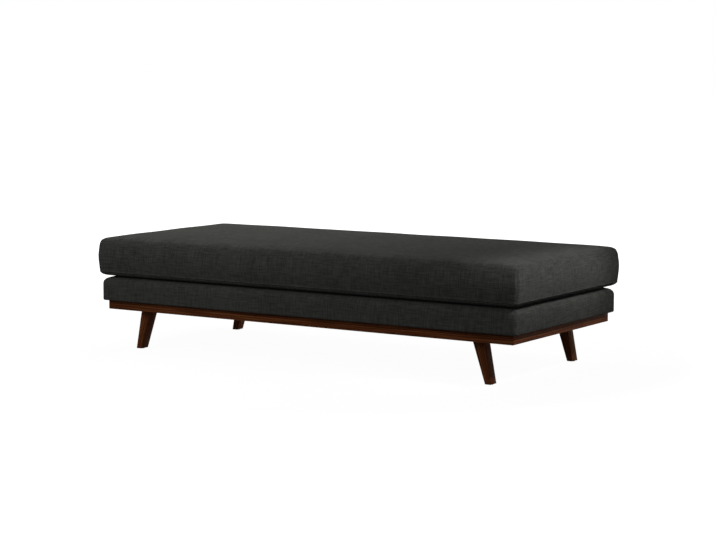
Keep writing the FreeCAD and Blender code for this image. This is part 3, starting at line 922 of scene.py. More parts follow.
@dataclass(frozen=True)
class Rod:
    """A short rod with rounded ends: a stitch, or one turn of the zip's coil."""

    length: float
    thickness: float
    sides: int = 6
    end_places: tuple[float, ...] = (0.0, 0.6, 0.95)
    end_radii: tuple[float, ...] = (1.0, 0.8, 0.3)

    def shape(self) -> tuple[np.ndarray, np.ndarray]:
        """Make the rod along X: rings whose radius follows a circle at both ends.

        Returns:
            Its points and faces.
        """
        radius = self.thickness / 2
        half = self.length / 2 - radius + np.array(self.end_places) * radius
        along = np.concatenate([-half[::-1], half])
        ring = np.array([*self.end_radii[::-1], *self.end_radii]) * radius
        turn = np.linspace(0, 2 * pi, self.sides, endpoint=False)
        x = np.repeat(along[:, None], self.sides, axis=1)
        points = np.stack([x, ring[:, None] * np.cos(turn), ring[:, None] * np.sin(turn)], axis=-1)
        return points.reshape(-1, 3), sheet_faces(len(along), self.sides, wrap_columns=True)

    def repeat(self, name: str, places: np.ndarray, directions: np.ndarray, up: np.ndarray) -> Piece:
        """Set copies of the rod in a row.

        Args:
            name: the piece's name.
            places: where each copy's middle is.
            directions: where each copy points.
            up: the direction that all the copies' backs look in.

        Returns:
            All the copies as one piece.
        """
        points, faces = self.shape()
        backs = np.broadcast_to(up, directions.shape)
        turns = np.stack([directions, np.cross(backs, directions), backs], axis=-1)
        moved = np.einsum("nij,pj->npi", turns, points) + places[:, None, :]
        numbers = faces[None] + (np.arange(len(places)) * len(points))[:, None, None]
        return Piece(name, moved.reshape(-1, 3), numbers.reshape(-1, faces.shape[1]))


@dataclass(frozen=True)
class Stitching:
    """A row of lockstitches: short rods of thread with a gap between each two."""

    name: str
    length: float = 4.6 * MM
    pitch: float = 6.2 * MM
    thread: float = 0.75 * MM

    def run(self, corners: np.ndarray, up: np.ndarray) -> Piece:
        """Sew along straight runs between corners.

        Args:
            corners: rows of a start and an end point.
            up: the direction that the cloth faces.

        Returns:
            The stitches.
        """
        places, directions = [], []
        for start, end in corners:
            reach = np.linalg.norm(end - start)
            count = int(reach / self.pitch)
            share = (np.arange(count) + 0.5)[:, None] / count
            places.append(start + (end - start) * share)
            directions.append(np.repeat(((end - start) / reach)[None], count, axis=0))
        rod = Rod(self.length, self.thread)
        return rod.repeat(self.name, np.concatenate(places), np.concatenate(directions), up)


def rounded_section(
    half_wide: np.ndarray | float, half_high: np.ndarray | float, easing: np.ndarray | float, count: int = 4
) -> np.ndarray:
    """Draw rectangles with eased edges, turning to the left from the lower right corner.

    Each corner is a quarter circle of the easing about the corner of the rectangle inset by it.

    Args:
        half_wide: half the width of each section, or of the only one.
        half_high: half the height.
        easing: the radius of the edges.
        count: how many points a corner has.

    Returns:
        The points of each section.
    """
    quarter = np.linspace(0, pi / 2, count)
    angle = np.concatenate([quarter + (n - 1) * pi / 2 for n in range(4)])
    spot = np.repeat(np.array([(1, -1), (1, 1), (-1, 1), (-1, -1)]), count, axis=0)
    core = np.stack([half_wide - easing, half_high - easing], axis=-1)[..., None, :]
    out = np.stack([np.cos(angle), np.sin(angle)], axis=1)
    return spot * core + np.asarray(easing)[..., None, None] * out


def bar(name: str, rings: np.ndarray, along: np.ndarray, offset: float) -> Piece:
    """Join rings of points into a closed bar with grain along it.

    Args:
        name: the piece's name.
        rings: the points, ring by ring.
        along: how far along the grain each ring's points are.
        offset: where across the board the pattern starts, so that no two pieces match.

    Returns:
        The bar, its ends closed by one face each.
    """
    end_shift = 3 * MM
    count, columns = rings.shape[:2]
    faces = sheet_faces(count, columns, wrap_columns=True)
    around = travelled(rings[count // 2]) + offset
    row, column = faces // columns, faces % columns
    uv = np.stack([along[row, column], around[past_seam(column, columns)]], axis=-1).reshape(-1, 2)
    first, last = np.arange(columns)[::-1], (count - 1) * columns + np.arange(columns)
    start = np.full(columns, along[0, 0])
    ends = [np.stack([start, around[ring % columns] + end_shift], axis=1) for ring in (first, last)]
    every = [tuple(face) for face in [*faces.tolist(), first.tolist(), last.tolist()]]
    return Piece(name, rings.reshape(-1, 3), every, np.vstack([uv, *ends]))


@dataclass
class SeatCushion:
    """The loose seat cushion: a waterfall cover sewn at its four corners, on a flat bottom panel.

    The lip is the seam's folded edge, as places out from the seam and up in millimetres.
    """

    upper: Box = node_box("cushion_cover_top")
    lower: Box = node_box("cushion_cover_bottom")
    core: Box = node_box("cushion_foam_core")
    zip_box: Box = node_box("zip_tape")
    spacing: float = 12 * MM
    corner_power: float = 11.0
    corner_shares: tuple[float, ...] = (1.0, 0.955, 0.89, 0.76, 0.5, 0.25)
    top_radius: float = 28 * MM
    foot_reach: float = 42 * MM
    crown: float = 10 * MM
    crown_share: float = 0.35
    crown_powers: tuple[float, float] = (4, 2.2)
    corner_bulge: float = 5 * MM
    front_bulge: float = 5 * MM
    end_bulge: float = 3.5 * MM
    front_draw: float = 3 * MM
    end_draw: float = 2 * MM
    draw_power: float = 6
    zip_blend: float = 100 * MM
    zip_margin: float = 16 * MM
    rear_share: float = 0.9
    swell_limit: float = 14 * MM
    filling_hold: float = 0.175
    seam_hold: float = 0.4
    seam_hold_reach: float = 9 * MM
    bottom_hold: float = 16 * MM
    bottom_flat: float = 12 * MM
    seam_depth: float = 2.2 * MM
    seam_width: float = 2.6 * MM
    seam_fades: tuple[float, float] = (1.15, 1.3)
    welt_height: float = 0.8 * MM
    welt_place: float = 7 * MM
    welt_width: float = 4 * MM
    pucker_height: float = 0.7 * MM
    pucker_reach: float = 20 * MM
    pucker_start: float = 3 * MM
    pucker_pitches: tuple[float, float] = (27 * MM, 16.47 * MM)
    pucker_phases: tuple[float, float] = (2.1, 1.3)
    pucker_second: float = 0.6
    uneven: Waves = Waves((9.1, 11.7), (3, 2.2), (5.3, 4.1), (1, 0))
    uneven_depth: float = 0.55 * MM
    uneven_rise: float = 30 * MM
    uneven_fine: tuple[float, float, float, float] = (23, 31, 19, 17)
    uneven_fine_share: float = 0.5
    uneven_fine_phase: float = 1.7
    lip: tuple[tuple[float, float], ...] = ((0.9, -0.7), (1.3, -1.7), (0.9, -2.7), (-0.4, -3.1), (-3.0, -2.6))
    lip_step: float = 1.3 * MM
    tuck: float = 2.2 * MM
    wrap_depth: float = 5 * MM
    core_radius: float = 32 * MM
    core_foot: tuple[float, float] = (8 * MM, 12 * MM)
    core_spacing: float = 40 * MM
    frames: int = 20
    pressure: float = 4
    gravity: float = 0
    pad: Pad = field(init=False)
    lattice: Lattice = field(init=False)
    seam_level: int = field(init=False)

    def __post_init__(self) -> None:
        """Lay out the cover, with one of its levels on the bottom seam."""
        low = np.array([*self.upper.low[:2], self.lower.low[2]])
        high = self.upper.high - self.crown * UPWARD
        foot = (self.lower.size[2], self.foot_reach)
        self.pad = Pad(low, high, self.top_radius, *foot, self.spacing, self.corner_power, self.corner_shares)
        self.lattice = self.pad.lattice
        levels = self.form()[self.lattice.index[0, 0], 2]
        self.seam_level = int(np.argmin(np.abs(levels - self.lower.high[2])))

    def form(self) -> np.ndarray:
        """Work out the unstuffed shape.

        On the rounded block, the top is crowned by a share of (1 - x^4)(1 - |y|^2.2) of the
        crown; the pressure does the rest. The sides bulge with the square of a sine of the
        height. Between the corners, where the seams hold them, they bulge more by a parabola,
        and their edges are drawn in by 1 - t^6 of the place t along the side. The rear stays
        flat for the zip, and takes the same shape within the zip blend past its ends.

        Returns:
            A point for each lattice place.
        """
        points = self.pad.form()
        direction = self.pad.direction
        share = np.clip(points[:, :2] / self.pad.high[:2], -1, 1)
        along, across = 1 - np.abs(share.T) ** np.array(self.crown_powers)[:, None]
        points[:, 2] += self.crown_share * self.crown * along * across * smooth(self.pad.rise)
        height = (points[:, 2] - self.pad.low[2]) / (self.pad.high[2] - self.pad.low[2])
        belly = np.sin(pi * np.clip(height, 0, 1)) ** 2
        endways = np.abs(direction[:, 0]) >= np.abs(direction[:, 1])
        place = np.where(endways, share[:, 1], share[:, 0])
        draw = np.where(endways, self.end_draw, self.front_draw) * (1 - place**self.draw_power)
        bulge = np.where(endways, self.end_bulge, self.front_bulge) * (1 - place**2)
        inset = (self.corner_bulge + draw) * (1 - belly) - bulge * belly
        rear = ~endways & (direction[:, 1] > 0)
        past_zip = smooth((np.abs(points[:, 0]) - self.zip_box.high[0]) / self.zip_blend)
        points[:, :2] -= direction * (np.where(rear, past_zip, 1.0) * inset * self.pad.flat)[:, None]
        return points

    def stuffed(self) -> np.ndarray:
        """Swell the form under pressure as cloth, held to its filling.

        The form starts with a low crown. Every point is held a little by the foam under it,
        the seams more, the bottom firmly, and a move m is capped at L tanh(m / L), where L is
        the limit.

        Returns:
            The swollen points.
        """
        form = self.form()
        moved = self.simulate(form) - form
        reach = np.linalg.norm(moved, axis=1)
        tiny = 1e-9
        moved *= (self.swell_limit * np.tanh(reach / self.swell_limit) / np.maximum(reach, tiny))[:, None]
        return self.settle(form + moved, form)

    def simulate(self, start: np.ndarray) -> np.ndarray:
        """Run Blender's cloth on the closed cover.

        Args:
            start: the points before the pressure.

        Returns:
            The points after it.
        """
        mesh = bpy.data.meshes.new("stuffing")
        mesh.from_pydata(start, [], self.lattice.skin()[0].tolist())
        cloth = link("stuffing", mesh)
        held = self.held_share(start)
        group = cloth.vertex_groups.new(name="held")
        for share in np.unique(held):
            group.add(np.flatnonzero(held == share).tolist(), float(share), "REPLACE")
        settings = cloth.modifiers.new("pressure", "CLOTH").settings
        settings.quality = 5
        settings.mass = 0.3
        settings.tension_stiffness = 20
        settings.compression_stiffness = 20
        settings.shear_stiffness = 8
        settings.bending_stiffness = 2
        settings.vertex_group_mass = group.name
        settings.pin_stiffness = 1.0
        settings.use_pressure = True
        settings.uniform_pressure_force = self.pressure
        settings.effector_weights.gravity = self.gravity
        scene = bpy.context.scene
        for step in range(1, self.frames + 1):
            scene.frame_set(step)
        swollen = cloth.evaluated_get(bpy.context.evaluated_depsgraph_get())
        points = np.empty(len(start) * 3, np.float32)
        swollen.data.vertices.foreach_get("co", points)
        scene.frame_set(1)
        bpy.data.objects.remove(cloth)
        bpy.data.meshes.remove(mesh)
        return points.reshape(-1, 3).astype(float)

    def held_share(self, points: np.ndarray) -> np.ndarray:
        """Say how firmly each point is held, from 0 for free to 1 for pinned, in hundredths.

        The bottom is pinned and lets go over a smooth step of the height, and a corner seam
        holds by a bell curve of the distance from it.

        Args:
            points: the unstuffed points.

        Returns:
            A share for each point.
        """
        bottom = 1 - smooth((points[:, 2] - self.lower.low[2]) / self.bottom_hold)
        corner = self.seam_hold * np.exp(-((self.to_corner() / self.seam_hold_reach) ** 2))
        return np.round(np.maximum(np.maximum(bottom, corner), self.filling_hold), 2)

    def to_corner(self) -> np.ndarray:
        """Measure the cloth's length from each point of the sides to the nearest corner seam.

        Returns:
            The lengths, and a metre for the points that aren't on the sides.
        """
        length = np.abs(self.lattice.read("length"))
        half = length.max(axis=0)
        turn = self.lattice.read("turn")
        upright = np.isclose(np.abs(turn[:, :2]).max(axis=1), 1)
        return np.where(upright, (half - length)[:, :2].max(axis=1), 1.0)

    def settle(self, points: np.ndarray, form: np.ndarray) -> np.ndarray:
        """Put back what is flat: the bottom on the deck and the strip that the zip is sewn to.

        Args:
            points: the swollen points.
            form: the unstuffed points.

        Returns:
            The points with the flat places restored.
        """
        settled = points.copy()
        bottom = 1 - smooth((form[:, 2] - self.lower.low[2]) / self.bottom_flat)
        settled += (form - settled) * bottom[:, None]
        settled[:, 2] = np.maximum(settled[:, 2], self.lower.low[2])
        rear = settled[:, 1] > self.rear_share * self.upper.high[1]
        beyond = np.maximum(np.abs(form[:, 2] - self.zip_box.centre[2]) - self.zip_box.size[2] / 2, 0)
        sideways = np.maximum(np.abs(form[:, 0]) - self.zip_box.high[0], 0)
        strip = np.where(rear, 1 - smooth(np.hypot(beyond, sideways) / self.zip_margin), 0.0)
        settled[:, 1] += (self.zip_box.low[1] - settled[:, 1]) * strip
        return settled

    def sew_corners(self, points: np.ndarray) -> np.ndarray:
        """Sink the four corner seams, raise the turned-in cloth beside them and pucker it.

        Across a seam at distance s the cloth sinks by a bell curve and rises by another one
        beside it. Puckers are two cosines of the height that fade away from the seam.

        Args:
            points: the stuffed points.

        Returns:
            The sewn points.
        """
        away, rise = self.to_corner(), self.pad.rise
        upper, lower = self.seam_fades
        fade = self.pad.flat * (1 - smooth(rise * upper)) * (1 - smooth(-rise * lower))
        groove = -self.seam_depth * np.exp(-((away / self.seam_width) ** 2))
        welt = self.welt_height * np.exp(-(((away - self.welt_place) / self.welt_width) ** 2))
        first, second = (2 * pi * points[:, 2] / pitch for pitch in self.pucker_pitches)
        wave = np.cos(first + self.pucker_phases[0] * np.sign(points[:, 0]) + points[:, 1])
        wave += self.pucker_second * np.cos(second + self.pucker_phases[1])
        clear = 1 - np.exp(-((away / self.pucker_start) ** 2))
        pucker = self.pucker_height * wave * np.exp(-away / self.pucker_reach) * clear
        sewn = points.copy()
        sewn[:, :2] += self.pad.direction * ((groove + welt + pucker) * fade)[:, None]
        return sewn

    def ripple(self, points: np.ndarray) -> np.ndarray:
        """Add the slight unevenness of hand-filled fabric: a few long low waves on every side.

        Half of sin(a x + b z + p) times cos(c y - d z) is added to the slow waves.

        Args:
            points: the stuffed points.

        Returns:
            The uneven points.
        """
        x, y, z = points.T
        a, b, c, d = self.uneven_fine
        fine = np.sin(a * x + b * z + self.uneven_fine_phase) * np.cos(c * y - d * z)
        wave = self.uneven.height(x, y) + self.uneven_fine_share * fine
        rear = y > self.rear_share * self.upper.high[1]
        calm = smooth((z - self.lower.low[2]) / self.uneven_rise) * np.where(rear, 0, 1)
        depth = self.uneven_depth * wave * calm
        uneven = points.copy()
        uneven[:, :2] += self.pad.direction * (depth * self.pad.flat)[:, None]
        uneven[:, 2] += depth * np.clip(self.pad.rise, 0, 1)
        return uneven

    def split(self, name: str, points: np.ndarray, above: bool) -> tuple[Piece, np.ndarray]:
        """Cut the closed cover at its bottom seam.

        Args:
            name: the new piece's name.
            points: the whole cover.
            above: take the part above the seam, or else the part below.

        Returns:
            The part as a piece, and which of the whole cover's points it has.
        """
        faces, uvs = self.lattice.skin()
        level = self.lattice.places[faces, 2]
        inside = (level >= self.seam_level) if above else (level <= self.seam_level)
        keep = inside.all(axis=1)
        used, renumbered = np.unique(faces[keep], return_inverse=True)
        return Piece(name, points[used], renumbered.reshape(-1, 4), uvs[keep].reshape(-1, 2)), used

    def cover(self, points: np.ndarray) -> Piece:
        """Cut the cover above its seam, and carry the seam's folded edge round its foot.

        The fold's profile stands out a little, turns under and ends inside, and is carried
        along the ring of points at the seam.

        Args:
            points: the whole cover's points.

        Returns:
            The upper part with the fold joined to it.
        """
        upper, used = self.split("seat_cushion_cover", points, above=True)
        ring = self.lattice.ring(self.seam_level)
        out = self.pad.direction[ring] / np.linalg.norm(self.pad.direction[ring], axis=1)[:, None]
        profile = np.array(self.lip) * MM
        rows = np.repeat(points[ring][None], len(profile), axis=0)
        rows[:, :, :2] += profile[:, None, :1] * out
        rows[:, :, 2] += profile[:, 1:]
        added = len(upper.points) + np.arange(rows[..., 0].size).reshape(len(profile), -1)
        numbers = np.vstack([np.searchsorted(used, ring), added])
        local = sheet_faces(*numbers.shape, wrap_columns=True)[:, ::-1]
        length = self.lattice.read("length")
        half, length = length.max(axis=0), length[ring]
        frontal = np.abs(out[:, 1]) >= np.abs(out[:, 0])
        u = np.broadcast_to(np.where(frontal, length[:, 0], length[:, 1]), numbers.shape).ravel()
        depth = np.arange(len(numbers)) * self.lip_step
        v = (half[2] - length[:, 2] + depth[:, None] + half[1]).ravel()
        return Piece(
            upper.name,
            np.vstack([upper.points, rows.reshape(-1, 3)]),
            np.vstack([upper.faces, numbers.ravel()[local]]),
            np.vstack([upper.corner_uv, np.stack([u, v], axis=1)[local].reshape(-1, 2)]),
        )

    def panel(self, points: np.ndarray) -> Piece:
        """Cut the panel below the seam, and take its upper edge in behind the cover's fold.

        Args:
            points: the whole cover's points.

        Returns:
            The bottom panel.
        """
        panel, used = self.split("seat_cushion_panel", points, above=False)
        edge = self.lattice.places[used, 2] == self.seam_level
        panel.points[edge, :2] -= self.pad.direction[used][edge] * self.tuck
        return panel

    def wadding(self, points: np.ndarray) -> Piece:
        """Shrink the whole cover by the wrap's depth, for the fibre wadding under it.

        Args:
            points: the whole cover's points.

        Returns:
            The wadding.
        """
        inner = points.copy()
        inner[:, :2] -= self.pad.direction * (self.wrap_depth * self.pad.flat)[:, None]
        inner[:, 2] -= self.wrap_depth * self.pad.rise
        return Piece("fibre_wadding", inner, self.lattice.skin()[0])

    def foam(self) -> Piece:
        """Cut the foam core: a block with eased edges, in the space that the frame gives it."""
        shape = Pad(self.core.low, self.core.high, self.core_radius, *self.core_foot, self.core_spacing)
        return shape.block("foam_core")

    def build(self, fabric: Material, fibre: Material, foam: Material) -> None:
        """Make the cushion's cloth and filling.

        Args:
            fabric: the upholstery cloth.
            fibre: the wadding under it.
            foam: the core's foam.
        """
        points = self.sew_corners(self.ripple(self.stuffed()))
        top = self.cover(points).make(fabric, Body.CUSHION, Slot.UPHOLSTERY, "cushion_cover_top")
        bottom = self.panel(points).make(fabric, Body.CUSHION, Slot.UPHOLSTERY, "cushion_cover_bottom")
        wrap = self.wadding(points).make(fibre, Body.CUSHION, Slot.FIBRE, "cushion_fibre_wrap")
        core = self.foam().make(foam, Body.CUSHION, Slot.FOAM, "cushion_foam_core")
        subdivide(top)


@dataclass(frozen=True)
class Outline:
    """A rounded rectangle in plan, as a path with the same points at every inset."""

    half: tuple[float, float]
    radius: float
    tightest: float = 1.5 * MM
    spacing: float = 14 * MM
    corner_points: int = 9
    free_power: float = 6

    def path(self, inset: np.ndarray) -> tuple[np.ndarray, np.ndarray, np.ndarray]:
        """Work out the path at each inset.

        Each corner is a quarter circle whose radius falls with the inset, down to the tightest,
        and the straight runs join them.

        Args:
            inset: how far inside the outer edge each row is.

        Returns:
            The points of each row, the outward direction of each column, and how free each
            column is of its corners: 1 - share^6 of its place along the side.
        """
        counts = [max(3, round(2 * half / self.spacing)) for half in self.half]
        quarter = np.linspace(0, pi / 2, self.corner_points)
        spots, turns, frees = [], [], []
        corners = np.array([(-1, -1), (1, -1), (1, 1), (-1, 1)])
        for number, (start, end) in enumerate(zip(corners, np.roll(corners, -1, axis=0))):
            share = np.linspace(0, 1, counts[number % 2])[1:-1, None]
            run = start + (end - start) * share
            spots += [run, np.repeat(end[None], len(quarter), axis=0)]
            heading = (number - 1) * pi / 2
            turns += [np.full(len(run), heading), heading + quarter]
            frees += [1 - (2 * share[:, 0] - 1) ** self.free_power, np.zeros(len(quarter))]
        spot, turn = np.concatenate(spots), np.concatenate(turns)
        out = np.stack([np.cos(turn), np.sin(turn)], axis=1)
        radius = np.maximum(self.radius - inset, self.tightest)[:, None, None]
        reach = np.array(self.half) - inset[:, None, None] - radius
        return spot * reach + out * radius, out, np.concatenate(frees)

    def carry(self, name: str, profile: np.ndarray, swell: np.ndarray | None = None) -> Piece:
        """Carry a closed profile round the outline.

        Args:
            name: the piece's name.
            profile: rows of inset and height, in order up the outside and back down the inside.
            swell: how far each row stands out between the corners, where the sides are free.

        Returns:
            The swept piece with its cloth coordinates: U round the outline, V up the profile.
        """
        plan, out, free = self.path(profile[:, 0])
        if swell is not None:
            plan = plan + out * (swell[:, None] * free)[..., None]
        rows, columns = plan.shape[:2]
        heights = np.broadcast_to(profile[:, 1, None, None], (rows, columns, 1))
        points = np.concatenate([plan, heights], axis=2)
        faces = sheet_faces(rows, columns, wrap_rows=True, wrap_columns=True)
        u = travelled(points[0])[past_seam(faces % columns, columns)]
        v = travelled(profile)[past_seam(faces // columns, rows)]
        return Piece(name, points.reshape(-1, 3), faces, np.stack([u, v], axis=-1).reshape(-1, 2))


@dataclass
class UpholsteredBase:
    """The padded base: a fabric cover round its sides, with a decking cloth let into the top."""

    box: Box = node_box("base_cover")
    deck: Box = node_box("deck_cloth")
    dust: Box = node_box("dust_cover")
    webbing: Box = node_box("seat_webbing")
    pad_box: Box = node_box("deck_foam")
    side_box: Box = node_box("base_side_foam")
    core: Box = node_box("base_rail_front", "base_rail_left", "base_rail_right")
    corner_radius: float = 13 * MM
    top_radius: float = 20 * MM
    bottom_radius: float = 6 * MM
    turn_points: int = 6
    side_points: int = 11
    lip_points: int = 9
    puff: float = 1.5 * MM
    thickness: float = 1.4 * MM
    turned_under: float = 24 * MM
    edge_fall: float = 10 * MM
    edge_run: float = 50 * MM
    foam_gap: float = 0.3 * MM
    foam_inset: float = 0.4
    foam_edge: float = 2 * MM
    foam_spacing: float = 12 * MM
    deck_points: tuple[int, int] = (140, 56)
    deck_tuck: float = 3 * MM
    deck_sink: float = 1.1 * MM
    deck_sink_run: float = 7.5 * MM
    deck_level: float = 0.5 * MM
    deck_ripple: float = 0.3 * MM
    deck_waves: Waves = Waves((17, 23), (2, 1.5), (9, 7), (0, pi / 2))
    dust_points: tuple[int, int] = (120, 50)
    dust_ripple: float = 0.25 * MM
    dust_waves: Waves = Waves((21, 15), (2.5, 0), (6, 0), (0, pi / 2))
    stitch_inset: float = 5 * MM
    stitch_lift: float = 0.05 * MM
    strap_width: float = 50 * MM
    strap_count: int = 14
    strap_points: int = 21
    strap_share: float = 0.8
    strap_easing: float = 0.6 * MM
    strap_sag: float = 3 * MM
    strap_shift: float = 0.1

    def eased(self, inset: np.ndarray, height: np.ndarray) -> np.ndarray:
        """Lower a height near the base's edge, where the deck rolls over its frame.

        The top falls by edge_fall over the edge run, along a smooth step; the side shares the
        fall along a smooth step of its height.

        Args:
            inset: how far inside the base's side each point is.
            height: each point's level before.

        Returns:
            Each point's level after.
        """
        share = (height - self.box.low[2]) / self.box.size[2]
        return height - self.edge_fall * (1 - smooth(inset / self.edge_run)) * smooth(share)

    def cover_profile(self) -> np.ndarray:
        """Draw the cover's section from its hem under the base up to the deck seam.

        The side is straight between two quarter circles, the top falls a little towards the
        edge, and the section comes back inside itself at the cloth's thickness.

        Returns:
            Rows of inset and height.
        """
        bottom, top = self.box.low[2], self.box.high[2]
        under, over = self.bottom_radius, self.top_radius
        quarter = np.linspace(0, pi / 2, self.turn_points)
        sine, cosine = 1 - np.sin(quarter), 1 - np.cos(quarter)
        climb = np.linspace(bottom + under, top - over, self.side_points)[1:-1]
        run = np.linspace(over, self.deck.low[0] - self.box.low[0], self.lip_points)[1:]
        hem = [(self.turned_under, bottom), (self.turned_under / 2, bottom)]
        low_turn = np.stack([under * sine, bottom + under * cosine], axis=1)
        side = np.stack([np.zeros(len(climb)), climb], axis=1)
        high_turn = np.stack([over * cosine, top - over * sine], axis=1)
        flat = np.stack([run, np.full(len(run), top)], axis=1)
        outer = np.vstack([hem, low_turn, side, high_turn, flat])
        outer[:, 1] = self.eased(outer[:, 0], outer[:, 1])
        step = np.gradient(outer, axis=0)
        normal = np.stack([step[:, 1], -step[:, 0]], axis=1)
        normal /= np.linalg.norm(normal, axis=1)[:, None]
        inner = outer + normal * self.thickness
        return np.vstack([outer, inner[::-1]])

    def cover(self, outline: Outline) -> Piece:
        """Carry the cover's section round the base, with its sides puffed a little.

        The sides stand out by the square of a sine of their height.

        Args:
            outline: the base's plan.

        Returns:
            The cover.
        """
        profile = self.cover_profile()
        share = (profile[:, 1] - self.box.low[2]) / self.box.size[2]
        upright = np.where(profile[:, 0] < self.turned_under / 2, 1.0, 0.0)
        swell = self.puff * upright * np.sin(pi * np.clip(share, 0, 1)) ** 2
        return outline.carry("base_fabric", profile, swell)

    def side_foam(self, outline: Outline) -> Piece:
        """Carry the strip of foam that pads the frame's sides round the base.

        Args:
            outline: the base's plan.

        Returns:
            The strip.
        """
        outer, inner = self.thickness + self.foam_gap, self.box.high[0] - self.core.high[0]
        ease = self.bottom_radius / 2
        low, high = self.side_box.low[2] + ease, self.side_box.high[2]
        outside = [(outer + ease, low), (outer, low + ease), (outer, (low + high) / 2), (outer, high)]
        return outline.carry("side_foam", np.array([*outside, (inner, high), (inner, low)]))

    def deck_foam(self) -> Piece:
        """Cut the foam on the deck, with its top edge rounded inside the cover.

        Returns:
            The foam.
        """
        inset = self.thickness * self.foam_inset * (1 - UPWARD)
        low, high = self.pad_box.low + inset, self.pad_box.high - inset - self.foam_gap * UPWARD
        shape = Pad(low, high, self.top_radius, self.foam_edge, self.foam_edge, self.foam_spacing)
        foam = shape.block("deck_pad")
        inside = (self.box.high[:2] - np.abs(foam.points[:, :2])).min(axis=1)
        foam.points[:, 2] = self.eased(inside, foam.points[:, 2])
        return foam

    def deck_sheet(self) -> Piece:
        """Stretch the decking cloth: a grid that is tucked under the cover's lip and ripples a little.

        Returns:
            The cloth.
        """
        low, high = self.deck.low - self.deck_tuck, self.deck.high + self.deck_tuck
        x, y = np.meshgrid(*(np.linspace(low[n], high[n], count) for n, count in enumerate(self.deck_points)))
        edge = np.minimum(high[0] - np.abs(x), high[1] - np.abs(y))
        level = self.deck.high[2] - self.deck_level + self.deck_ripple * self.deck_waves.height(x, y)
        z = level - self.deck_sink * (1 - smooth(edge / self.deck_sink_run))
        return grid_piece("deck_sheet", x, y, z)

    def deck_stitching(self) -> Piece:
        """Topstitch the cover's lip round the decking cloth.

        Returns:
            The stitches.
        """
        x, y = self.deck.high[:2] + self.stitch_inset
        z = self.box.high[2] + self.stitch_lift
        corner = np.array([(-x, -y, z), (x, -y, z), (x, y, z), (-x, y, z)])
        runs = np.stack([corner, np.roll(corner, -1, axis=0)], axis=1)
        return Stitching("deck_topstitch").run(runs, UPWARD)

    def dust_sheet(self) -> Piece:
        """Stretch the dust cover under the frame: a thin grid with shallow ripples, facing down.

        Returns:
            The cloth.
        """
        low, high = self.dust.low, self.dust.high
        x, y = np.meshgrid(*(np.linspace(low[n], high[n], count) for n, count in enumerate(self.dust_points)))
        z = self.dust.centre[2] + self.dust_ripple * self.dust_waves.height(x, y)
        return grid_piece("dust_sheet", x, y, z, turned=True)

    def straps(self) -> Piece:
        """Lay the webbing across the frame: each strap is a rounded band with a slight sag.

        A strap's section is carried across the frame along Y, and dips by a parabola.

        Returns:
            All the straps.
        """
        box = self.webbing
        half = self.strap_width / 2
        section = rounded_section(half, box.size[2] / 2 * self.strap_share, self.strap_easing)
        across = np.linspace(box.low[1], box.high[1], self.strap_points)
        y = np.broadcast_to(across[:, None], (len(across), len(section)))
        z = box.centre[2] + section[:, 1] - self.strap_sag * (1 - (y / box.high[1]) ** 2)
        parts = []
        for number, middle in enumerate(np.linspace(box.low[0] + half, box.high[0] - half, self.strap_count)):
            rings = np.stack([np.broadcast_to(middle + section[:, 0], y.shape), y, z], axis=-1)
            parts.append(bar("strap", rings, y, self.strap_shift * number))
        return joined("webbing_straps", parts)

    def build(
        self,
        fabric: Material,
        decking: Material,
        dust: Material,
        foam: Material,
        webbing: Material,
        thread: Material,
    ) -> None:
        """Make the base's cloth, filling and webbing.

        Args:
            fabric: the upholstery cloth.
            decking: the plain cloth of the deck.
            dust: the dust cover under the base.
            foam: the filling.
            webbing: the straps.
            thread: the sewing thread.
        """
        outline = Outline(tuple(self.box.high[:2]), self.corner_radius)
        cover = self.cover(outline).make(fabric, Body.FRAME, Slot.UPHOLSTERY, "base_cover")
        subdivide(cover)
        for piece, node in ((self.side_foam(outline), "base_side_foam"), (self.deck_foam(), "deck_foam")):
            piece.make(foam, Body.FRAME, Slot.FOAM, node)
        deck = self.deck_sheet().make(decking, Body.FRAME, Slot.DECK, "deck_cloth")
        under = self.dust_sheet().make(dust, Body.FRAME, Slot.DUST, "dust_cover")
        self.deck_stitching().make(thread, Body.FRAME, Slot.UPHOLSTERY)
        straps = self.straps().make(webbing, Body.FRAME, Slot.WEBBING, "seat_webbing")
        straps.data.set_sharp_from_angle(angle=SHARP_ANGLE)


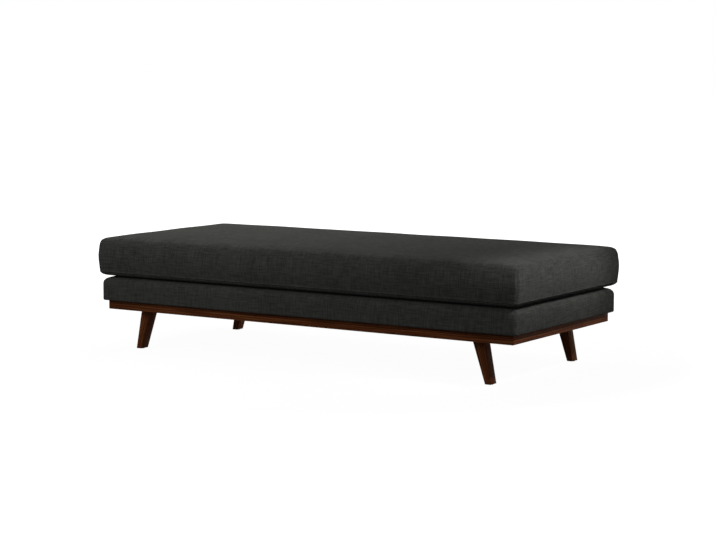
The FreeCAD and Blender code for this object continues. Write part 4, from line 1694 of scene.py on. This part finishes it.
@dataclass
class Plinth:
    """The mitred wooden frame that the legs carry: four rails with eased edges.

    The mitre's arris is taken off the outer face in steps towards the rail's end: end_insets
    are how far from the end each step is, and end_draws how deep, as shares of the arris.
    """

    easing: float = 1.5 * MM
    arris: float = 0.5 * MM
    end_insets: tuple[float, ...] = (0.0, 1.0, 3.0)
    end_draws: tuple[float, ...] = (1.0, 0.35, 0.0)
    run_inset: float = 4.0
    run_points: int = 25
    grain_shift: tuple[float, float] = (1.7, 0.31)

    def rail(self, side: str, number: int) -> Piece:
        """Carry a rail's section along it, with its ends cut to a mitre.

        Each ring's points stand back from the rail's end by their depth behind its outer face.

        Args:
            side: front, right, rear or left.
            number: the rail's place round the plinth, which also turns it.

        Returns:
            The rail.
        """
        box = Box.of(f"plinth_rail_{side}")
        thick, long = sorted(box.size[:2])
        section = rounded_section(thick / 2, box.size[2] / 2, self.easing)
        reach = long / 2 - thick / 2 - section[:, 0]
        ends = reach - np.array(self.end_insets)[:, None] * self.arris
        shares = np.linspace(-1, 1, self.run_points)[1:-1, None]
        along = np.vstack([-ends, shares * (reach - self.run_inset * self.arris), ends[::-1]])
        draw = np.concatenate([self.end_draws, np.zeros(len(shares)), self.end_draws[::-1]]) * self.arris
        slack = 0.01 * self.easing
        outside = section[:, 0] < self.easing + slack - thick / 2
        across = section[:, 0] + draw[:, None] * outside
        local = np.stack([along, across, np.broadcast_to(section[:, 1], along.shape)], axis=-1)
        turn = np.array(Matrix.Rotation(number * pi / 2, 3, "Z"))
        along_shift, across_shift = np.array(self.grain_shift) * number
        return bar(f"plinth_{side}", local @ turn.T + box.centre, along + along_shift, across_shift)

    def build(self, walnut: Material) -> None:
        """Make the four rails.

        Args:
            walnut: the stained wood.
        """
        for number, side in enumerate(("front", "right", "rear", "left")):
            piece = self.rail(side, number).make(walnut, Body.FRAME, Slot.WALNUT, f"plinth_rail_{side}")
            piece.data.set_sharp_from_angle(angle=SHARP_ANGLE)


@dataclass
class Legs:
    """Four tapered legs, splayed outward along the length."""

    top_size: tuple[float, float] = (45 * MM, 45 * MM)
    foot_size: tuple[float, float] = (23 * MM, 42 * MM)
    easing: float = 2.0 * MM
    foot_share: float = 0.6
    foot_easing: float = 0.5
    foot_points: int = 4
    run_points: int = 24
    grain_shift: tuple[float, float] = (0.4, 0.17)
    grain_start: float = 0.05

    def leg(self, name: str, number: int) -> Piece:
        """Carry the leg's section from its foot to its top.

        The section's size and centre change evenly with the height; at the foot it starts
        smaller by a share of the easing, which a quarter circle brings out.

        Args:
            name: the CAD leg that it stands for.
            number: the leg's place, which sets where its grain starts.

        Returns:
            The leg.
        """
        box = Box.of(name)
        inner, outer = sorted(np.abs([box.low[0], box.high[0]]))
        top_x, foot_x = inner + self.top_size[0] / 2, outer - self.foot_size[0] / 2
        turn = np.linspace(0, pi / 2, self.foot_points)
        foot = self.easing * self.foot_share
        run = np.linspace(foot, box.size[2], self.run_points)[1:]
        height = np.concatenate([foot * (1 - np.cos(turn)), run])
        shrink = np.concatenate([foot * (1 - np.sin(turn)), np.zeros(len(run))])
        share = (height / box.size[2])[:, None]
        top_size, foot_size = np.array(self.top_size), np.array(self.foot_size)
        half = (foot_size + (top_size - foot_size) * share) / 2 - shrink[:, None]
        plan = rounded_section(half[:, 0], half[:, 1], self.easing - shrink * self.foot_easing)
        x = plan[..., 0] + np.sign(box.centre[0]) * (foot_x + (top_x - foot_x) * share)
        z = np.broadcast_to(box.low[2] + height[:, None], x.shape)
        rings = np.stack([x, plan[..., 1] + box.centre[1], z], axis=-1)
        along = np.broadcast_to(height[:, None], x.shape) + self.grain_shift[0] * number
        offset = self.grain_shift[1] * number + self.grain_start
        return bar(name.replace("leg_", "tapered_leg_"), rings, along, offset)

    def build(self, walnut: Material) -> None:
        """Make the four legs.

        Args:
            walnut: the stained wood.
        """
        names = [f"leg_{side}_{end}" for side in ("front", "rear") for end in ("left", "right")]
        for number, name in enumerate(names):
            piece = self.leg(name, number).make(walnut, Body.FRAME, Slot.WALNUT, name)
            piece.data.set_sharp_from_angle(angle=SHARP_ANGLE)


@dataclass
class CushionZip:
    """The zip along the cushion's back: woven tape, nylon coil, end stops and topstitching."""

    tape: Box = node_box("zip_tape")
    chain: Box = node_box("zip_chain")
    stops: Box = node_box("zip_stops")
    tape_points: tuple[int, int] = (160, 17)
    tape_level: float = 0.5 * MM
    rib_height: float = 0.25 * MM
    rib_count: float = 5.0
    rib_start: float = 0.5
    wave_height: float = 0.15 * MM
    wave_rate: float = 40.0
    pitch: float = 1.9 * MM
    tooth: float = 1.5 * MM
    tooth_inset: float = 0.9 * MM
    tooth_step: float = 0.35 * MM
    tooth_lean: float = radians(9)
    clamp_edge: float = 0.8 * MM
    clamp_spacing: float = 2 * MM
    stitch_inset: float = 3.5 * MM
    stitch_end: float = 4 * MM
    stitch_sink: float = 0.05 * MM

    def ribbon(self) -> Piece:
        """Weave the tape: a grid whose height across the tape is a low cosine rib at each edge.

        Returns:
            The tape.
        """
        low, high = self.tape.low, self.tape.high
        x = np.linspace(low[0], high[0], self.tape_points[0])
        z = np.linspace(low[2], high[2], self.tape_points[1])
        x, z = np.meshgrid(x, z)
        share = (z - self.tape.centre[2]) / (self.tape.size[2] / 2)
        ribbed = np.abs(share) > self.rib_start
        rib = self.rib_height * np.cos(2 * pi * self.rib_count * share) * ribbed
        y = low[1] + self.tape_level + rib + self.wave_height * np.sin(self.wave_rate * x)
        return grid_piece("zip_ribbon", x, y, z, turned=True)

    def coil(self) -> Piece:
        """Set the coil's turns side by side: rods across the tape that lean a little by turns.

        Returns:
            The coil.
        """
        count = int(self.chain.size[0] / self.pitch)
        number = np.arange(count)
        side = np.where(number % 2 == 0, 1.0, -1.0)
        x = self.chain.low[0] + (number + 0.5) * self.chain.size[0] / count
        y = np.full(count, self.chain.centre[1])
        z = self.chain.centre[2] + side * self.tooth_step
        lean = self.tooth_lean * side
        directions = np.stack([np.sin(lean), np.zeros(count), np.cos(lean)], axis=1)
        rod = Rod(self.chain.size[2] - self.tooth_inset, self.tooth)
        return rod.repeat("zip_coil", np.stack([x, y, z], axis=1), directions, REARWARD)

    def stop_clamps(self) -> Piece:
        """Press a small rounded clamp over each end of the coil.

        Returns:
            Both clamps.
        """
        length = self.chain.low[0] - self.stops.low[0]
        edge = self.clamp_edge
        parts = []
        for start in (self.stops.low[0], self.stops.high[0] - length):
            low = np.array([start, *self.stops.low[1:]])
            high = np.array([start + length, *self.stops.high[1:]])
            parts.append(Pad(low, high, edge, edge, edge, self.clamp_spacing).block("clamp"))
        return joined("zip_clamps", parts)

    def topstitch(self) -> Piece:
        """Sew the tape down along both its edges.

        Returns:
            The stitches.
        """
        y = self.tape.high[1] - self.stitch_sink
        reach = self.tape.high[0] - self.stitch_end
        levels = (self.tape.low[2] + self.stitch_inset, self.tape.high[2] - self.stitch_inset)
        runs = np.array([((-reach, y, z), (reach, y, z)) for z in levels])
        return Stitching("zip_topstitch").run(runs, REARWARD)

    def build(self, tape: Material, coil: Material, metal: Material, thread: Material) -> None:
        """Make the zip's pieces.

        Args:
            tape: the woven tape's cloth.
            coil: the coil's nylon.
            metal: the lacquered metal.
            thread: the sewing thread.
        """
        ribbon = self.ribbon().make(tape, Body.CUSHION, Slot.ZIP_FABRIC, "zip_tape")
        self.coil().make(coil, Body.CUSHION, Slot.ZIP_PLASTIC, "zip_chain")
        self.stop_clamps().make(metal, Body.CUSHION, Slot.ZIP_METAL, "zip_stops")
        self.topstitch().make(thread, Body.CUSHION, Slot.UPHOLSTERY)


@dataclass(frozen=True)
class FrameFinish:
    """A finish for CAD nodes whose shape stays as it is."""

    slot: Slot
    starts: tuple[str, ...]

    def dress(self, material: Material) -> None:
        """Put the finish on every node that shows and whose name starts as this one says.

        Args:
            material: the finish.
        """
        for name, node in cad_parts.items():
            if name.startswith(self.starts) and not node.hide_render:
                for holder in node.material_slots:
                    holder.material = material
                log.info("%s: %s", name, material.name)


@dataclass(frozen=True)
class Lamp:
    """A soft rectangular lamp that looks at a point; spread is its beam's angle in degrees."""

    name: str
    place: Colour
    aim: Colour
    size: tuple[float, float]
    power: float
    spread: float = 180.0

    def hang(self) -> None:
        """Add the lamp to the scene, unseen by the camera."""
        light = bpy.data.lights.new(self.name, "AREA")
        light.shape = "RECTANGLE"
        light.size, light.size_y = self.size
        light.energy = self.power
        light.spread = radians(self.spread)
        lamp = link(self.name, light)
        lamp.location = self.place
        lamp.rotation_euler = (Vector(self.aim) - Vector(self.place)).to_track_quat("-Z", "Y").to_euler()
        lamp.visible_camera = False


@dataclass
class Studio:
    """Pale floor, soft lamps and the camera at the photograph's place; angles are in degrees."""

    eye: Colour = (4.0209, -6.1949, 1.1332)
    azimuth: float = 32.84
    pitch: float = 6.295
    roll: float = 0.067
    lens: float = 100.0
    sensor: float = 36.0
    sight: float = 200.0
    floor_reach: float = 40.0
    floor_colour: Colour = (0.2, 0.2, 0.2)
    floor_white: float = 1.34
    glow: tuple[float, float] = (0.72, 1.0)
    glow_reach: tuple[float, float] = (1.2, 3.5)
    ambient: float = 0.25
    lamps: tuple[Lamp, ...] = (
        Lamp("overhead", (-0.7, 0.4, 1.5), (-0.25, 0.1, 0.43), (1.6, 1.0), 12.2),
        Lamp("front_left", (-0.85, -2.05, 1.45), (-0.1, -0.3, 0.3), (1.4, 0.8), 14.6),
        Lamp("right_key", (1.92, -0.15, 1.37), (0.93, -0.12, 0.39), (0.9, 0.06), 0.66, 17.0),
        Lamp("rear_fill", (0.0, 2.2, 0.42), (0.0, 0.0, 0.3), (2.4, 0.5), 26.0),
    )

    def seen(self, g: Graph) -> Socket:
        """Tell the rays that should see white: those of the camera, of gloss and of glass.

        Args:
            g: the graph of the floor or the world.

        Returns:
            1 for such a ray, and 0 for the rest.
        """
        rays = g.node("LightPath").outputs
        kinds = ("Is Camera Ray", "Is Glossy Ray", "Is Transmission Ray")
        return reduce(lambda first, second: g.math("MAXIMUM", first, second), (rays[kind] for kind in kinds))

    def floor(self) -> None:
        """Lay a wide floor that is nearly white to the camera and keeps the bench's shadow.

        What is seen mixes a plain grey floor with a white one, and the white's share grows
        with the distance from the bench.
        """
        g = Graph.named("studio_floor")
        diffuse = g.node("BsdfDiffuse", {"Color": (*self.floor_colour, 1.0)}).outputs[0]
        white = g.node("Emission", {"Color": WHITE, "Strength": self.floor_white}).outputs[0]
        away = g.node("VectorMath", {0: g.object_place()}, operation="LENGTH").outputs["Value"]
        share = g.times(self.seen(g), g.spread(away, *self.glow_reach, *self.glow))
        mixed = g.node("MixShader", {0: share, 1: diffuse, 2: white}).outputs[0]
        g.node("OutputMaterial", {"Surface": mixed})
        corners = np.array([(-1, -1, 0), (1, -1, 0), (1, 1, 0), (-1, 1, 0)]) * self.floor_reach
        mesh = bpy.data.meshes.new("floor")
        mesh.from_pydata(corners, [], [(0, 1, 2, 3)])
        mesh.materials.append(g.owner)
        floor = link("floor", mesh)

    def world(self) -> None:
        """Light the room evenly, and show white behind the bench."""
        world = bpy.data.worlds.new("studio")
        bpy.context.scene.world = world
        g = Graph(world)
        strength = g.spread(self.seen(g), 0.0, 1.0, self.ambient, 1.0)
        light = g.node("Background", {"Color": WHITE, "Strength": strength}).outputs[0]
        g.node("OutputWorld", {"Surface": light})

    def camera(self) -> None:
        """Set the camera where the photograph was taken: turned, pitched and rolled at the eye."""
        data = bpy.data.cameras.new("camera")
        data.lens, data.sensor_width, data.sensor_fit = self.lens, self.sensor, "HORIZONTAL"
        data.clip_end = self.sight
        camera = link("camera", data)
        turns = ((self.azimuth, "Z"), (90 - self.pitch, "X"), (self.roll, "Z"))
        camera.matrix_world = Matrix.Translation(self.eye)
        for angle, axis in turns:
            camera.matrix_world = camera.matrix_world @ Matrix.Rotation(radians(angle), 4, axis)
        bpy.context.scene.camera = camera

    def build(self) -> None:
        """Set up the whole studio."""
        bpy.context.scene.view_settings.view_transform = "Standard"
        self.camera()
        self.floor()
        self.world()
        for lamp in self.lamps:
            lamp.hang()


def grey(tone: float) -> Colour:
    """Give the plain grey of a tone."""
    return (tone, tone, tone)


def dress_frame(lacquer: Material) -> None:
    """Finish the CAD nodes that keep their shape: timber, steel, nylon, and the zip's metal.

    Args:
        lacquer: the zip's lacquered metal.
    """
    nylon = Fitting("glide_nylon", grey(0.015), grey(0.05), roughness=0.5).material()
    steel = Fitting("zinc_plate", (0.42, 0.42, 0.41), (0.6, 0.6, 0.58), 1.0, 0.38).material()
    lengthways = PlanedTimber("timber_lengthways", Axis.X).material()
    crossways = PlanedTimber("timber_crossways", Axis.Y).material()
    long_timber = ("base_rail_front", "base_rail_rear", "base_corner", "plinth_corner")
    cross_timber = ("base_rail_left", "base_rail_right", "base_cross", "plinth_bearer")
    FrameFinish(Slot.TIMBER, long_timber).dress(lengthways)
    FrameFinish(Slot.TIMBER, cross_timber).dress(crossways)
    FrameFinish(Slot.STEEL, ("leg_plate", "leg_hanger", "plinth_screws", "base_frame")).dress(steel)
    FrameFinish(Slot.NYLON, ("foot_glide",)).dress(nylon)
    FrameFinish(Slot.ZIP_METAL, ("zip_slider", "zip_pull")).dress(lacquer)


def main() -> None:
    """Build the divan's looks in order."""
    logging.basicConfig(level=logging.INFO, format="%(message)s")
    Studio().build()
    fabric = LinenWeave().material()
    walnut = StainedWalnut().material()
    foam = Filling("open_cell_foam", (0.72, 0.66, 0.46), (0.5, 0.44, 0.27)).material()
    fibre = Filling("polyester_wadding", (0.8, 0.8, 0.78), (0.6, 0.6, 0.58), 260.0).material()
    decking = PlainCloth("black_decking", grey(0.010), grey(0.034)).material()
    dust = PlainCloth("black_dust_cloth", grey(0.006), grey(0.022), 0.6 * MM).material()
    webbing = PlainCloth("elastic_webbing", (0.03, 0.03, 0.028), (0.12, 0.12, 0.11), 2.2 * MM, 0.4 * MM)
    tape = PlainCloth("zip_tape_weave", grey(0.012), (0.05, 0.05, 0.048), 0.7 * MM, 0.2 * MM).material()
    thread = PlainCloth("sewing_thread", grey(0.02), (0.06, 0.06, 0.058), 0.4 * MM, 0.1 * MM).material()
    coil = Fitting("zip_nylon", grey(0.02), grey(0.05), roughness=0.35).material()
    lacquer = Fitting("black_lacquer", grey(0.02), (0.09, 0.085, 0.08), 0.6, 0.3).material()
    SeatCushion().build(fabric, fibre, foam)
    CushionZip().build(tape, coil, lacquer, thread)
    UpholsteredBase().build(fabric, decking, dust, foam, webbing.material(), thread)
    Plinth().build(walnut)
    Legs().build(walnut)
    dress_frame(lacquer)


if __name__ == "__main__":
    main()
